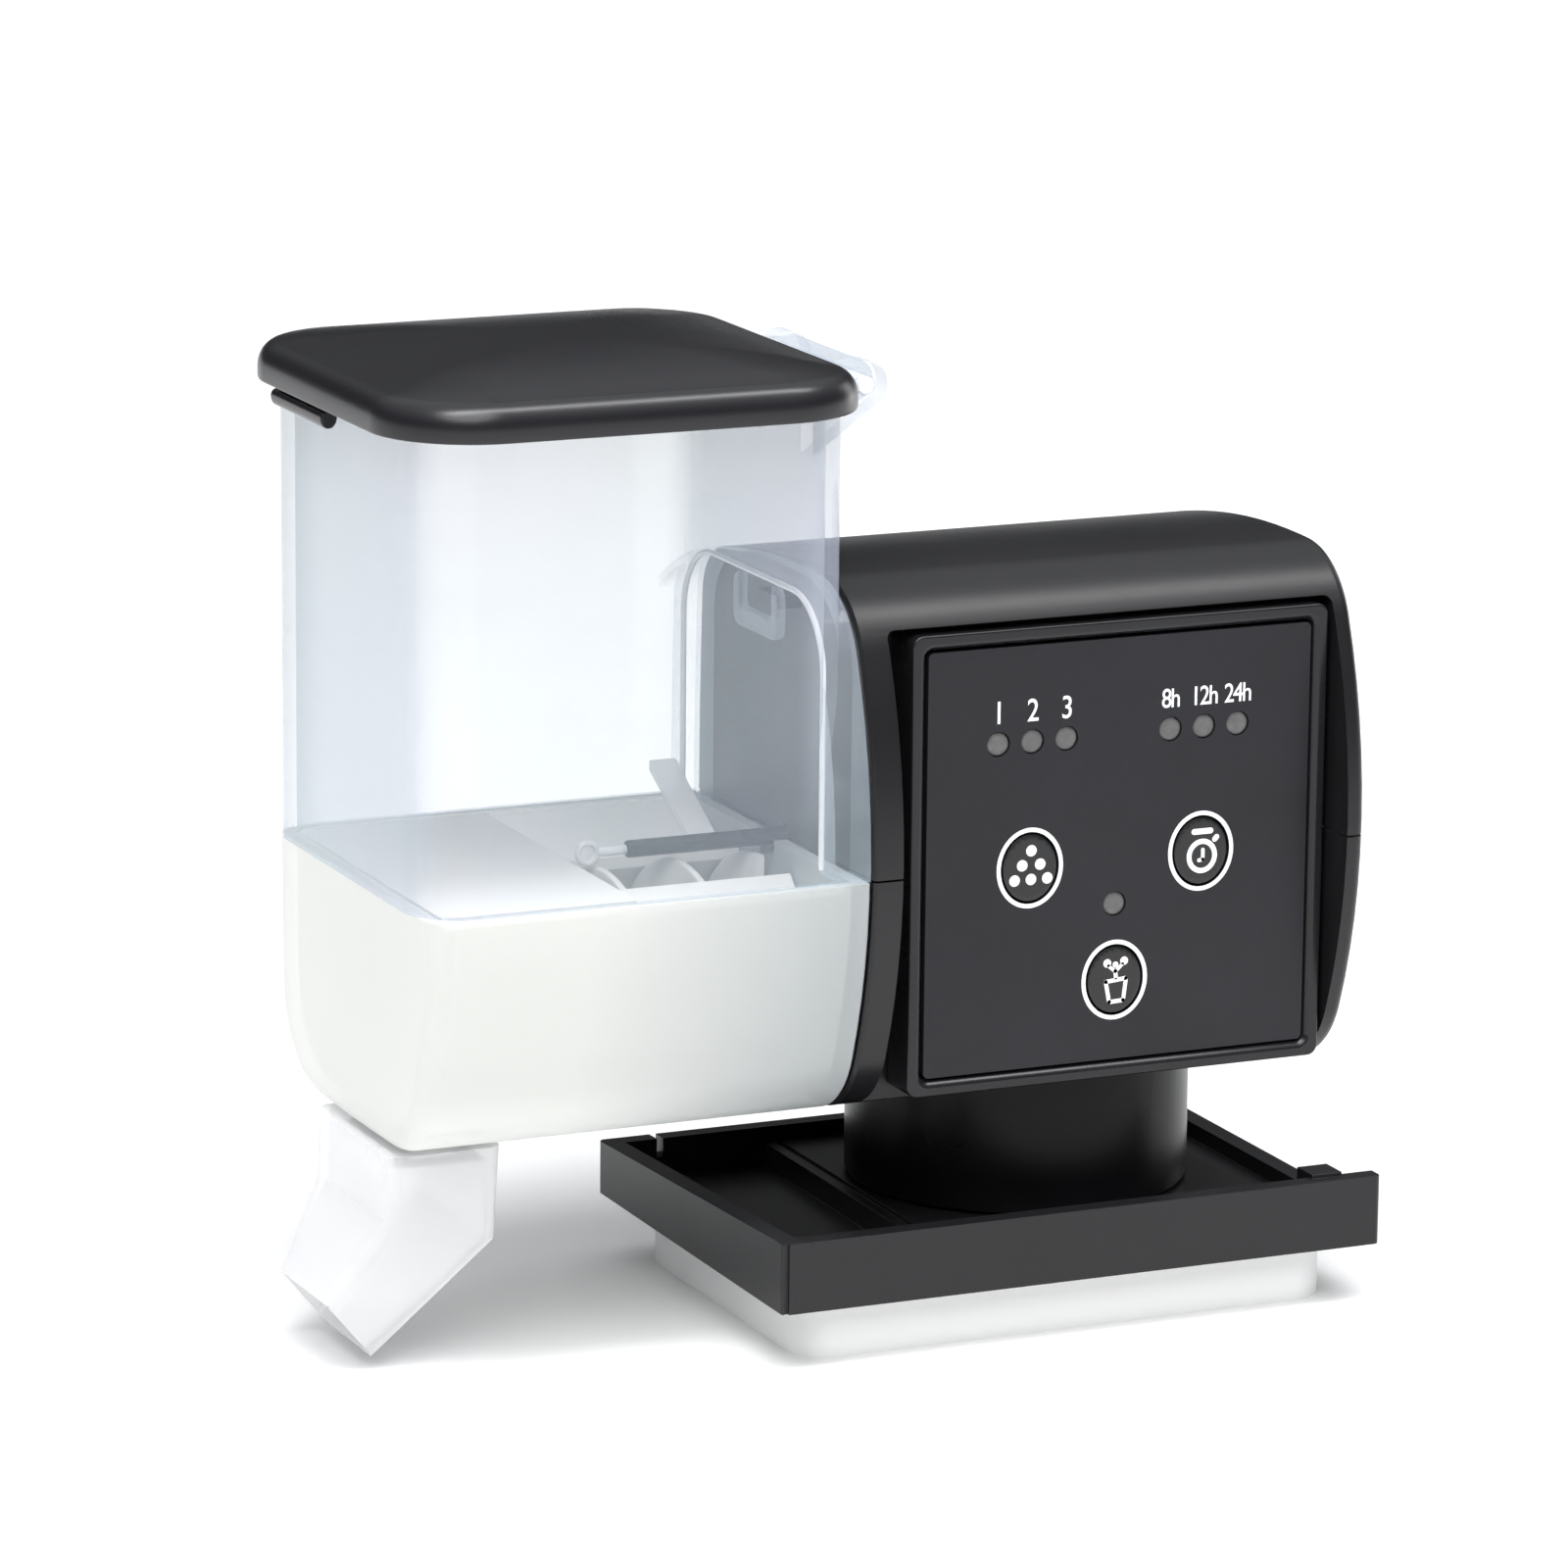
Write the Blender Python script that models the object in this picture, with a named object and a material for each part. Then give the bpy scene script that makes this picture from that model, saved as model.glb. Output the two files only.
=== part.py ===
"""Automatic aquarium fish feeder: motor housing on a swivelling pedestal and tray, with a slide-off
clear hopper, a feed screw in a milky trough, a drop chute and a hinged lid.

Frame: X to the right along the feed screw, -Y to the front (the control panel), Z up.
The origin is the centre of the tray's underside.
"""
from math import atan2, cos, hypot, pi, sin, sqrt

import bmesh
import bpy
from mathutils import Matrix, Vector

MM = 0.001
GAP = 0.3                      # clearance kept between neighbouring pieces, mm
ROUND = 32                     # sides of a large round piece
SMALL = 16                     # sides of a small round piece

# ---- driving dimensions, mm ----
TRAY_HALF_X = 47.0
TRAY_HALF_Y = 33.5
TRAY_WALL = 3.0
TRAY_FLOOR = 2.0
TRAY_FRONT_TOP = 10.2
TRAY_BACK_TOP = 7.9
TRAY_RIGHT_TOP = 4.4
PLINTH_X = (-21.5, 34.5)
PLINTH_TOP = 5.5
LUG_X = (36.8, 41.6)            # lug on the front wall

PIVOT = (6.7, 4.2)             # the pedestal's axis
PEDESTAL_RADIUS = 25.0
PEDESTAL_WALL = 2.4

HOUSING_X = (-32.6, 44.2)
HOUSING_Z = (23.6, 100.4)
SPLIT_Z = 60.0
SHELL_WALL = 2.2
FRONT_Y = -31.0
BACK_Y = 31.0

PANEL_X = (-24.4, 40.6)
PANEL_Z = (26.7, 93.0)
PANEL_FRONT = -25.0
PANEL_BACK = -18.0
PANEL_BORDER = 2.3
RECESS_X = (-28.2, 41.3)
RECESS_TOP = 94.0
RECESS_FLOOR = -17.7
RECESS_WALL = 1.7
SHELL_SCREWS = ((-26.6, 20.5), (37.8, 5.9), (14.0, -11.4), (37.4, -11.4))
PEDESTAL_SCREWS = ((-8.5, 4.2), (21.9, 4.2))
PILOT_RADIUS = 1.5             # screw holes
SHANK_RADIUS = 1.2
BAR_CENTRE = (0.0, 60.15)      # stirrer bar
BAR_RADIUS = 1.25
BAR_RING_X = -62.8
KEY_CENTRES = {"amount": (-5.7, 58.4), "timer": (21.2, 58.5), "feed": (7.9, 40.9)}
KEY_HALF = (4.2, 4.85)
LAMP_Z = 76.6
LAMP_PITCH = 5.3
LAMP_LEFT_X = -5.6
LAMP_RIGHT_X = 21.3
LAMP_LONE = (7.7, 52.0)
LAMP_RADIUS = 1.7

SCREW_Z = 45.0                 # feed screw axis, at Y = 0
MODULE = 0.7
TEETH = {"output": 40, "idler_wheel": 36, "idler_pinion": 12, "motor": 10}
IDLER_Y = 2.0
GEAR_LAYER_OUT = (-28.5, -24.5)
GEAR_LAYER_IN = (-23.9, -21.4)
PLATE_X = (-19.6, -18.0)

HOPPER_X = (-99.4, -35.5)
HOPPER_HALF_Y = 31.0
HOPPER_CORNER = 8.5
HOPPER_TOP = 128.0
CLEAR_WALL = 2.0
CUFF_X = (-44.0, -33.2)
ARCH_HALF_Y = 24.0
ARCH_TOP = 98.2

TROUGH_X = (-98.0, -33.2)
SCREW_RADIUS = 13.0
SCREW_PITCH = 12.0
SCREW_SHAFT = 3.2
FLIGHT_X = (-92.0, -36.8)
FLIGHT_TOP_X = -61.0           # where the flight points straight up
SLOT_X = (-67.0, -34.0)

LID_X = (-103.1, -32.6)
LID_HALF_Y = 35.0
LID_Z = (126.1, 131.7)
LID_CROWN = 2.5
LID_CORNER = 14.5
CATCH_Y = (-1.5, 18.5)
HINGE_XZ = (-27.6, 127.0)
HINGE_RADIUS = 3.4
EAR_Y = (11.0, 15.0)

CELL_RADIUS = 7.25
CELL_LENGTH = 50.5
CELL_Y = 19.4
CELL_Z = (35.3, 50.4)
FAR = 80.0                     # beyond every piece, for cutting shapes
COVER_X = (-14.5, 39.5)
COVER_Z = (33.0, 57.6)

# The housing's end outline is the region inside four large circles (centre Y, centre Z, radius),
# with a fillet at each corner: (side, side, fillet radius, sign of Y, sign of Z).
SIDE_FRONT = (FRONT_Y + 80.0, 62.0, 80.0)
SIDE_TOP = (-6.0, HOUSING_Z[1] - 150.0, 150.0)
SIDE_BACK = (BACK_Y - 600.0, 60.0, 600.0)
SIDE_BOTTOM = (0.0, HOUSING_Z[0] + 600.0, 600.0)
CORNERS = ((SIDE_TOP, SIDE_BACK, 8.0, 1, 1), (SIDE_FRONT, SIDE_TOP, 14.0, -1, 1),
           (SIDE_BOTTOM, SIDE_FRONT, 15.0, -1, -1), (SIDE_BACK, SIDE_BOTTOM, 15.0, 1, -1))


# ---- basic shapes, all in millimetres ----
def clear_scene():
    for thing in list(bpy.data.objects):
        bpy.data.objects.remove(thing, do_unlink=True)


def material(name, colour, roughness, metallic=0.0, alpha=1.0):
    made = bpy.data.materials.new(name)
    made.use_nodes = True
    shader = made.node_tree.nodes["Principled BSDF"]
    shader.inputs["Base Color"].default_value = (*colour, 1.0)
    shader.inputs["Roughness"].default_value = roughness
    shader.inputs["Metallic"].default_value = metallic
    shader.inputs["Alpha"].default_value = alpha
    return made


def finish(name, bm, look, smooth=True):
    """Turn a bmesh in millimetres into a named object in metres."""
    bmesh.ops.remove_doubles(bm, verts=bm.verts, dist=0.0001)
    bmesh.ops.recalc_face_normals(bm, faces=bm.faces)
    bmesh.ops.scale(bm, vec=(MM, MM, MM), verts=bm.verts)
    mesh = bpy.data.meshes.new(name)
    bm.to_mesh(mesh)
    bm.free()
    thing = bpy.data.objects.new(name, mesh)
    bpy.context.scene.collection.objects.link(thing)
    if look is not None:
        mesh.materials.append(look)
    if smooth:
        mesh.shade_smooth()
        mesh.set_sharp_from_angle(angle=0.6)
    return thing


def prism_mesh(outline, axis, low, high):
    """Extrude an outline along an axis. The outline's pairs are (Y, Z), (X, Z) or (X, Y)."""
    def place(pair, along):
        if axis == "X":
            return (along, pair[0], pair[1])
        if axis == "Y":
            return (pair[0], along, pair[1])
        return (pair[0], pair[1], along)

    bm = bmesh.new()
    bottom = [bm.verts.new(place(pair, low)) for pair in outline]
    top = [bm.verts.new(place(pair, high)) for pair in outline]
    bm.faces.new(bottom)
    bm.faces.new(list(reversed(top)))
    count = len(outline)
    for i in range(count):
        j = (i + 1) % count
        bm.faces.new((bottom[j], bottom[i], top[i], top[j]))
    return bm


def prism(name, outline, axis, low, high, look=None, smooth=True):
    return finish(name, prism_mesh(outline, axis, low, high), look, smooth)


def block(name, x, y, z, look=None):
    corners = [(x[0], y[0]), (x[1], y[0]), (x[1], y[1]), (x[0], y[1])]
    return prism(name, corners, "Z", z[0], z[1], look, smooth=False)


def circle(centre, radius, sides, turn=0.0):
    return [(centre[0] + radius * cos(turn + 2 * pi * i / sides),
             centre[1] + radius * sin(turn + 2 * pi * i / sides)) for i in range(sides)]


def oval(centre, half, sides):
    return [(centre[0] + half[0] * cos(2 * pi * i / sides),
             centre[1] + half[1] * sin(2 * pi * i / sides)) for i in range(sides)]


def disc(name, axis, centre, radius, low, high, look=None, sides=SMALL):
    return prism(name, circle(centre, radius, sides), axis, low, high, look)


def rounded_rectangle(x, y, radius, steps=6):
    """Outline of a rectangle with round corners."""
    points = []
    for corner_x, corner_y, start in ((x[1] - radius, y[1] - radius, 0.0),
                                      (x[0] + radius, y[1] - radius, 0.5 * pi),
                                      (x[0] + radius, y[0] + radius, pi),
                                      (x[1] - radius, y[0] + radius, 1.5 * pi)):
        for i in range(steps + 1):
            angle = start + 0.5 * pi * i / steps
            points.append((corner_x + radius * cos(angle), corner_y + radius * sin(angle)))
    return points


def combine(thing, tools, operation):
    """Apply a Boolean with each tool in turn, then delete the tools."""
    for tool in tools:
        step = thing.modifiers.new("combine", "BOOLEAN")
        step.operation = operation
        step.solver = "EXACT"
        step.object = tool
        bpy.context.view_layer.update()
        graph = bpy.context.evaluated_depsgraph_get()
        result = bpy.data.meshes.new_from_object(thing.evaluated_get(graph))
        thing.modifiers.remove(step)
        old = thing.data
        result.name = old.name
        thing.data = result
        bpy.data.meshes.remove(old)
        bpy.data.objects.remove(tool, do_unlink=True)
    bm = bmesh.new()
    bm.from_mesh(thing.data)
    bmesh.ops.remove_doubles(bm, verts=bm.verts, dist=0.000002)
    bm.to_mesh(thing.data)
    bm.free()
    thing.data.shade_smooth()
    thing.data.set_sharp_from_angle(angle=0.6)
    return thing


def cut(thing, *tools):
    return combine(thing, tools, "DIFFERENCE")


def join(thing, *tools):
    return combine(thing, tools, "UNION")


# ---- the housing's end outline ----
def fillet_centre(side_a, side_b, radius, sign_y, sign_z):
    """Centre of the circle that touches two larger circles from inside, in the named quarter."""
    ay, az, ar = side_a
    by, bz, br = side_b
    ra = ar - radius
    rb = br - radius
    span = hypot(by - ay, bz - az)
    along = (ra * ra - rb * rb + span * span) / (2 * span)
    height = sqrt(max(ra * ra - along * along, 0.0))
    uy = (by - ay) / span
    uz = (bz - az) / span
    base = (ay + along * uy, az + along * uz)
    options = [(base[0] - height * uz, base[1] + height * uy),
               (base[0] + height * uz, base[1] - height * uy)]
    return max(options, key=lambda p: p[0] * sign_y + (p[1] - SPLIT_Z) * sign_z)


def body_outline(inset=0.0, corner_steps=6, side_steps=5):
    """The housing's (Y, Z) outline, moved inward by inset."""
    arcs = []
    for side_a, side_b, radius, sign_y, sign_z in CORNERS:
        centre = fillet_centre(side_a, side_b, radius, sign_y, sign_z)
        ends = []
        for side in (side_b, side_a):
            dy = centre[0] - side[0]
            dz = centre[1] - side[1]
            size = hypot(dy, dz)
            ends.append((dy / size, dz / size))
        arcs.append((centre, max(radius - inset, 0.6), ends))
    points = []
    for index, (centre, radius, ends) in enumerate(arcs):
        start = Vector(ends[0])
        turn = start.angle_signed(Vector(ends[1]))
        for i in range(corner_steps + 1):
            ray = start.copy()
            ray.rotate(Matrix.Rotation(-turn * i / corner_steps, 2))
            points.append((centre[0] + radius * ray[0], centre[1] + radius * ray[1]))
        side = CORNERS[index][0]
        following = arcs[(index + 1) % 4]
        first = Vector(ends[1])
        last = Vector(following[2][0])
        bend = first.angle_signed(last)
        for i in range(1, side_steps):
            ray = first.copy()
            ray.rotate(Matrix.Rotation(-bend * i / side_steps, 2))
            reach = side[2] - inset
            points.append((side[0] + reach * ray[0], side[1] + reach * ray[1]))
    return points


def body_prism(name, inset, x, look=None):
    return prism(name, body_outline(inset), "X", x[0], x[1], look)


def half_space(above, height, reach=2.0 * FAR):
    z = (height, height + reach) if above else (height - reach, height)
    return block("half_space", (-reach, reach), (-reach, reach), z)


def gear_outline(centre, teeth, turn):
    """Spur gear outline: trapezoid teeth, slightly thinned for backlash."""
    pitch = MODULE * teeth / 2
    tip = pitch + 0.9 * MODULE
    root = pitch - 1.15 * MODULE
    points = []
    for tooth in range(teeth):
        middle = turn + 2 * pi * tooth / teeth
        for radius, share in ((root, -0.30), (tip, -0.115), (tip, 0.115), (root, 0.30)):
            angle = middle + share * 2 * pi / teeth
            points.append((centre[0] + radius * cos(angle), centre[1] + radius * sin(angle)))
    return points


# ---- materials ----
BLACK = material("black_plastic", (0.016, 0.016, 0.018), 0.38)
LID_BLACK = material("lid_plastic", (0.014, 0.014, 0.016), 0.34)
PANEL_GREY = material("panel_plate", (0.035, 0.035, 0.042), 0.42)
KEY_BLACK = material("key_plastic", (0.02, 0.02, 0.022), 0.35)
LAMP_GREY = material("lamp_lens", (0.2, 0.2, 0.21), 0.3)
CLEAR = material("clear_plastic", (0.86, 0.9, 0.9), 0.06, alpha=0.25)
MILKY = material("milky_plastic", (0.88, 0.89, 0.85), 0.35, alpha=0.75)
WHITE = material("white_plastic", (0.85, 0.85, 0.82), 0.4)
STEEL = material("steel", (0.6, 0.6, 0.62), 0.28, metallic=1.0)
BRASS = material("brass", (0.7, 0.52, 0.22), 0.3, metallic=1.0)
BOARD = material("board", (0.02, 0.16, 0.07), 0.45)
CHIP = material("chip", (0.03, 0.03, 0.03), 0.5)
CELL_GREEN = material("cell_wrap", (0.08, 0.25, 0.12), 0.35)

OUTPUT_CENTRE = (0.0, SCREW_Z)
OUTPUT_TO_IDLER = MODULE * (TEETH["output"] + TEETH["idler_pinion"]) / 2
IDLER_TO_MOTOR = MODULE * (TEETH["idler_wheel"] + TEETH["motor"]) / 2
IDLER_CENTRE = (IDLER_Y, SCREW_Z + sqrt(OUTPUT_TO_IDLER ** 2 - IDLER_Y ** 2))
MOTOR_CENTRE = (0.0, IDLER_CENTRE[1] + sqrt(IDLER_TO_MOTOR ** 2 - IDLER_Y ** 2))


# ---- base ----
def make_tray():
    x = (-TRAY_HALF_X, TRAY_HALF_X)
    y = (-TRAY_HALF_Y, TRAY_HALF_Y)
    inner_y = (y[0] + TRAY_WALL, y[1] - TRAY_WALL)
    high = 30.0
    tray = block("tray", x, y, (0.0, TRAY_FRONT_TOP), BLACK)
    slope = [(inner_y[0], TRAY_FRONT_TOP), (y[1] + 1, TRAY_BACK_TOP), (y[1] + 1, high), (inner_y[0], high)]
    cut(tray,
        prism("slope", slope, "X", x[0] - 1, x[1] + 1, smooth=False),
        block("left_pocket", (x[0] + TRAY_WALL, PLINTH_X[0]), inner_y, (TRAY_FLOOR, high)),
        block("right_pocket", (PLINTH_X[1], x[1] - TRAY_WALL), inner_y, (TRAY_FLOOR, high)),
        block("over_plinth", (PLINTH_X[0] - 1, PLINTH_X[1] + 1), inner_y, (PLINTH_TOP, high)),
        block("low_right_wall", (x[1] - TRAY_WALL - 1, x[1] + 1), (inner_y[0], inner_y[1]),
              (TRAY_RIGHT_TOP, high)),
        block("back_notch", (-38.9, -37.9), (inner_y[1] - 1, y[1] + 1), (5.2, high)),
        disc("pivot_hole", "Z", PIVOT, 5.3, -1.0, high, sides=ROUND),
        disc("pivot_counterbore", "Z", PIVOT, 7.0, -1.0, 3.0, sides=ROUND))
    join(tray, block("corner_lug", LUG_X, (inner_y[0] - 1.0, -26.8), (1.0, TRAY_FRONT_TOP + 0.6)))
    return tray


def make_pedestal():
    pedestal = disc("pedestal", "Z", PIVOT, PEDESTAL_RADIUS, PLINTH_TOP + GAP, 40.0, BLACK, sides=48)
    cut(pedestal,
        body_prism("housing_bed", -GAP, (-FAR, FAR)),
        disc("pedestal_bore", "Z", PIVOT, PEDESTAL_RADIUS - PEDESTAL_WALL, 8.6, 60.0, sides=48))
    join(pedestal,
         disc("swivel_boss", "Z", PIVOT, 5.0, 3.0, 8.8, sides=ROUND),
         disc("screw_post", "Z", PIVOT, 4.0, 8.0, 15.0, sides=ROUND))
    cut(pedestal, disc("screw_hole", "Z", PIVOT, 1.8, 2.0, 14.0))
    return pedestal


def make_pivot_fasteners():
    washer = disc("pivot_washer", "Z", PIVOT, 6.7, 2.0, 2.7, STEEL, sides=ROUND)
    cut(washer, disc("washer_hole", "Z", PIVOT, 1.8, 1.0, 4.0))
    screw = disc("pivot_screw", "Z", PIVOT, 4.0, 0.4, 1.7, STEEL)
    join(screw, disc("pivot_shank", "Z", PIVOT, 1.45, 1.0, 12.5))
    slot_half = 0.45
    cut(screw,
        block("slot_a", (PIVOT[0] - 2.4, PIVOT[0] + 2.4), (PIVOT[1] - slot_half, PIVOT[1] + slot_half),
              (-1.0, 0.9)))
    return screw


# ---- housing ----
def shell_blank(name, above):
    """One half of the housing: outer prism, inner hollow and the panel's recess."""
    shell = body_prism(name, 0.0, HOUSING_X, BLACK)
    split = SPLIT_Z + GAP if above else SPLIT_Z
    hollow = body_prism("hollow", SHELL_WALL, (HOUSING_X[0] + SHELL_WALL, HOUSING_X[1] - SHELL_WALL))
    cut(hollow, block("front_wall", (-FAR, FAR), (-80.0, RECESS_FLOOR + RECESS_WALL), (0.0, 120.0)))
    cut(shell,
        half_space(not above, split),
        hollow,
        block("recess", RECESS_X, (-60.0, RECESS_FLOOR), (0.0, RECESS_TOP)))
    return shell


def make_lower_shell():
    shell = shell_blank("lower_shell", False)
    wall = (HOUSING_X[0] - 1.0, HOUSING_X[0] + SHELL_WALL + 1.0)
    cut(shell,
        disc("bush_hole", "X", OUTPUT_CENTRE, 5.3, wall[0], wall[1], sides=ROUND),
        disc("bar_hole", "X", BAR_CENTRE, BAR_RADIUS + GAP, wall[0], wall[1]),
        block("cover_opening", COVER_X, (20.0, 60.0), COVER_Z))
    posts = [disc(f"post_{i}", "Z", place, 2.8, HOUSING_Z[0] + 1.2, SPLIT_Z - 0.6)
             for i, place in enumerate(SHELL_SCREWS)]
    join(shell, *posts)
    cut(shell, *[disc(f"post_hole_{i}", "Z", place, PILOT_RADIUS, HOUSING_Z[0] - 2.0, 80.0)
                 for i, place in enumerate(SHELL_SCREWS)])
    cut(shell, *[disc(f"head_hole_{i}", "Z", place, 2.9, HOUSING_Z[0] - 12.0, head_seat(place))
                 for i, place in enumerate(SHELL_SCREWS)])
    cut(shell, *[disc(f"base_hole_{i}", "Z", place, PILOT_RADIUS, 10.0, 30.0)
                 for i, place in enumerate(PEDESTAL_SCREWS)])
    return shell


def head_seat(place):
    """Height of a case screw's head seat: the outline's bottom at that place, plus the head."""
    return bottom_at(place[1]) + 2.0


def bottom_at(y):
    """Height of the housing's underside at a given Y, from the bottom corner fillets."""
    lowest = [point for point in body_outline(0.0, 24) if point[1] < SPLIT_Z]
    return min(lowest, key=lambda point: abs(point[0] - y))[1]


def make_upper_shell():
    shell = shell_blank("upper_shell", True)
    wall = (HOUSING_X[0] - 1.0, HOUSING_X[0] + SHELL_WALL + 1.0)
    cut(shell, disc("bar_hole", "X", BAR_CENTRE, BAR_RADIUS + GAP, wall[0], wall[1]))
    join(shell, block("latch_nib", (HOUSING_X[0] - 3.6, HOUSING_X[0] + 0.6), (-5.0, 2.0), (94.0, 95.8)))
    bosses = [disc(f"boss_{i}", "Z", place, 2.8, SPLIT_Z + 0.6, 99.0)
              for i, place in enumerate(SHELL_SCREWS)]
    boss_limit = [body_prism(f"limit_{i}", SHELL_WALL - 0.8, HOUSING_X) for i in range(len(bosses))]
    for boss, limit in zip(bosses, boss_limit):
        combine(boss, [limit], "INTERSECT")
    join(shell, *bosses)
    cut(shell, *[disc(f"boss_hole_{i}", "Z", place, PILOT_RADIUS, 50.0, 76.0)
                 for i, place in enumerate(SHELL_SCREWS)])
    return shell


def make_case_screws():
    for index, place in enumerate(SHELL_SCREWS):
        seat = head_seat(place)
        screw = disc(f"case_screw_{index + 1}", "Z", place, 2.5, seat - 1.6, seat - 0.3, STEEL)
        join(screw, disc("shank", "Z", place, SHANK_RADIUS, seat - 0.8, 72.0, sides=12))


def make_pedestal_screws():
    for index, place in enumerate(PEDESTAL_SCREWS):
        screw = disc(f"pedestal_screw_{index + 1}", "Z", place, 2.8, 26.2, 27.6, STEEL)
        join(screw, disc("shank", "Z", place, SHANK_RADIUS, 16.0, 27.0, sides=12))


# ---- control panel ----
def make_panel():
    x, z = PANEL_X, PANEL_Z
    frame = prism("panel_frame", rounded_rectangle(x, z, 1.6, 3), "Y", PANEL_FRONT, PANEL_BACK, BLACK)
    inner_x = (x[0] + PANEL_BORDER, x[1] - PANEL_BORDER)
    inner_z = (z[0] + PANEL_BORDER, z[1] - PANEL_BORDER)
    cut(frame, prism("frame_pocket", rounded_rectangle(inner_x, inner_z, 1.0, 3), "Y",
                     PANEL_FRONT - 1.0, PANEL_BACK - 1.2, smooth=False))
    plate_x = (inner_x[0] + GAP, inner_x[1] - GAP)
    plate_z = (inner_z[0] + GAP, inner_z[1] - GAP)
    overlay = prism("panel_overlay", rounded_rectangle(plate_x, plate_z, 0.8, 3), "Y",
                    PANEL_FRONT + 0.4, PANEL_FRONT + 1.6, PANEL_GREY)
    room = (KEY_HALF[0] + GAP, KEY_HALF[1] + GAP)
    cut(overlay, *[prism(f"key_room_{name}", oval(place, room, ROUND), "Y", -30.0, -20.0)
                   for name, place in KEY_CENTRES.items()])
    cut(overlay, *[disc(f"lamp_room_{i}", "Y", place, LAMP_RADIUS + GAP, -30.0, -20.0)
                   for i, place in enumerate(lamp_places())])
    for name, place in KEY_CENTRES.items():
        make_key(name, place)
    make_light_guide("light_guide_left", lamp_row(LAMP_LEFT_X))
    make_light_guide("light_guide_right", lamp_row(LAMP_RIGHT_X))
    make_light_guide("light_guide_centre", [LAMP_LONE])
    make_board(plate_x, plate_z)


def lamp_row(middle):
    return [(middle + step * LAMP_PITCH, LAMP_Z) for step in (-1, 0, 1)]


def lamp_places():
    return lamp_row(LAMP_LEFT_X) + lamp_row(LAMP_RIGHT_X) + [LAMP_LONE]


def make_key(name, place):
    key = prism(f"key_{name}", oval(place, KEY_HALF, ROUND), "Y", PANEL_FRONT + 0.3,
                PANEL_FRONT + 1.7, KEY_BLACK)
    join(key, disc("plunger", "Y", place, 1.6, PANEL_FRONT + 1.2, PANEL_FRONT + 2.0))
    return key


def make_light_guide(name, places):
    """Lenses behind the plate's holes, moulded on one bar."""
    back = (PANEL_FRONT + 1.9, PANEL_FRONT + 2.7)
    left = min(place[0] for place in places) - LAMP_RADIUS - 0.6
    right = max(place[0] for place in places) + LAMP_RADIUS + 0.6
    z = places[0][1]
    guide = block(name, (left, right), back, (z - 2.4, z + 2.4), LAMP_GREY)
    lenses = [disc(f"lens_{i}", "Y", place, LAMP_RADIUS, PANEL_FRONT + 0.5, back[0] + 0.4)
              for i, place in enumerate(places)]
    join(guide, *lenses)
    return guide


def make_board(plate_x, plate_z):
    board_y = (-21.0, -19.5)
    board = block("circuit_board", (plate_x[0] + 0.5, plate_x[1] - 0.5), board_y,
                  (plate_z[0] + 0.5, plate_z[1] - 0.5), BOARD)
    for name, (x, z) in KEY_CENTRES.items():
        switch = block(f"switch_{name}", (x - 2.6, x + 2.6), (-22.0, -21.3), (z - 2.6, z + 2.6), STEEL)
        cut(switch, disc("dome_groove", "Y", (x, z), 1.9, -22.4, -21.8))
    block("controller_chip", (2.8, 10.8), (-22.4, -21.3), (66.0, 74.0), CHIP)
    block("lamp_driver", (30.0, 34.0), (-22.4, -21.3), (40.0, 46.0), CHIP)
    return board


# ---- drive ----
def make_drive():
    output = prism("output_gear", gear_outline(OUTPUT_CENTRE, TEETH["output"], 0.0), "X",
                   *GEAR_LAYER_OUT, WHITE, smooth=False)
    join(output, disc("output_shaft", "X", OUTPUT_CENTRE, 2.5, -38.4, -20.0, sides=ROUND))
    coupler = prism("drive_coupler", circle(OUTPUT_CENTRE, 4.4, 6), "X", -38.6, -33.3, BLACK, smooth=False)
    cut(coupler, disc("coupler_bore", "X", OUTPUT_CENTRE, 2.8, -40.0, -30.0, sides=ROUND))
    idler = prism("idler_gear", gear_outline(IDLER_CENTRE, TEETH["idler_wheel"], 0.0), "X",
                  *GEAR_LAYER_IN, WHITE, smooth=False)
    join(idler,
         prism("idler_pinion", gear_outline(IDLER_CENTRE, TEETH["idler_pinion"], IDLER_PINION_TURN), "X",
               GEAR_LAYER_OUT[0] + 0.2, GEAR_LAYER_OUT[1] - 0.2, smooth=False),
         disc("idler_neck", "X", IDLER_CENTRE, 3.0, GEAR_LAYER_OUT[1] - 1.0, GEAR_LAYER_IN[0] + 1.0))
    cut(idler, disc("idler_bore", "X", IDLER_CENTRE, 1.3, -30.0, -20.0))
    pinion = prism("motor_pinion", gear_outline(MOTOR_CENTRE, TEETH["motor"], MOTOR_TURN), "X",
                   *GEAR_LAYER_IN, BRASS, smooth=False)
    join(pinion, disc("motor_shaft", "X", MOTOR_CENTRE, 1.0, -24.4, -12.0))
    disc("idler_axle", "X", IDLER_CENTRE, 1.0, -29.6, PLATE_X[0] + 0.9, STEEL)
    make_gear_plate()
    make_motor()
    make_bush()


def mesh_turn(centre_a, centre_b, turn_a, teeth_a, teeth_b):
    """Turn of gear B that puts its tooth in gear A's gap on their line of centres."""
    line = atan2(centre_b[1] - centre_a[1], centre_b[0] - centre_a[0])
    phase = (line - turn_a) * teeth_a / (2 * pi)
    return line + pi - (0.5 - phase) * 2 * pi / teeth_b


IDLER_PINION_TURN = mesh_turn(OUTPUT_CENTRE, IDLER_CENTRE, 0.0, TEETH["output"], TEETH["idler_pinion"])
MOTOR_TURN = mesh_turn(IDLER_CENTRE, MOTOR_CENTRE, 0.0, TEETH["idler_wheel"], TEETH["motor"])


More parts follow.
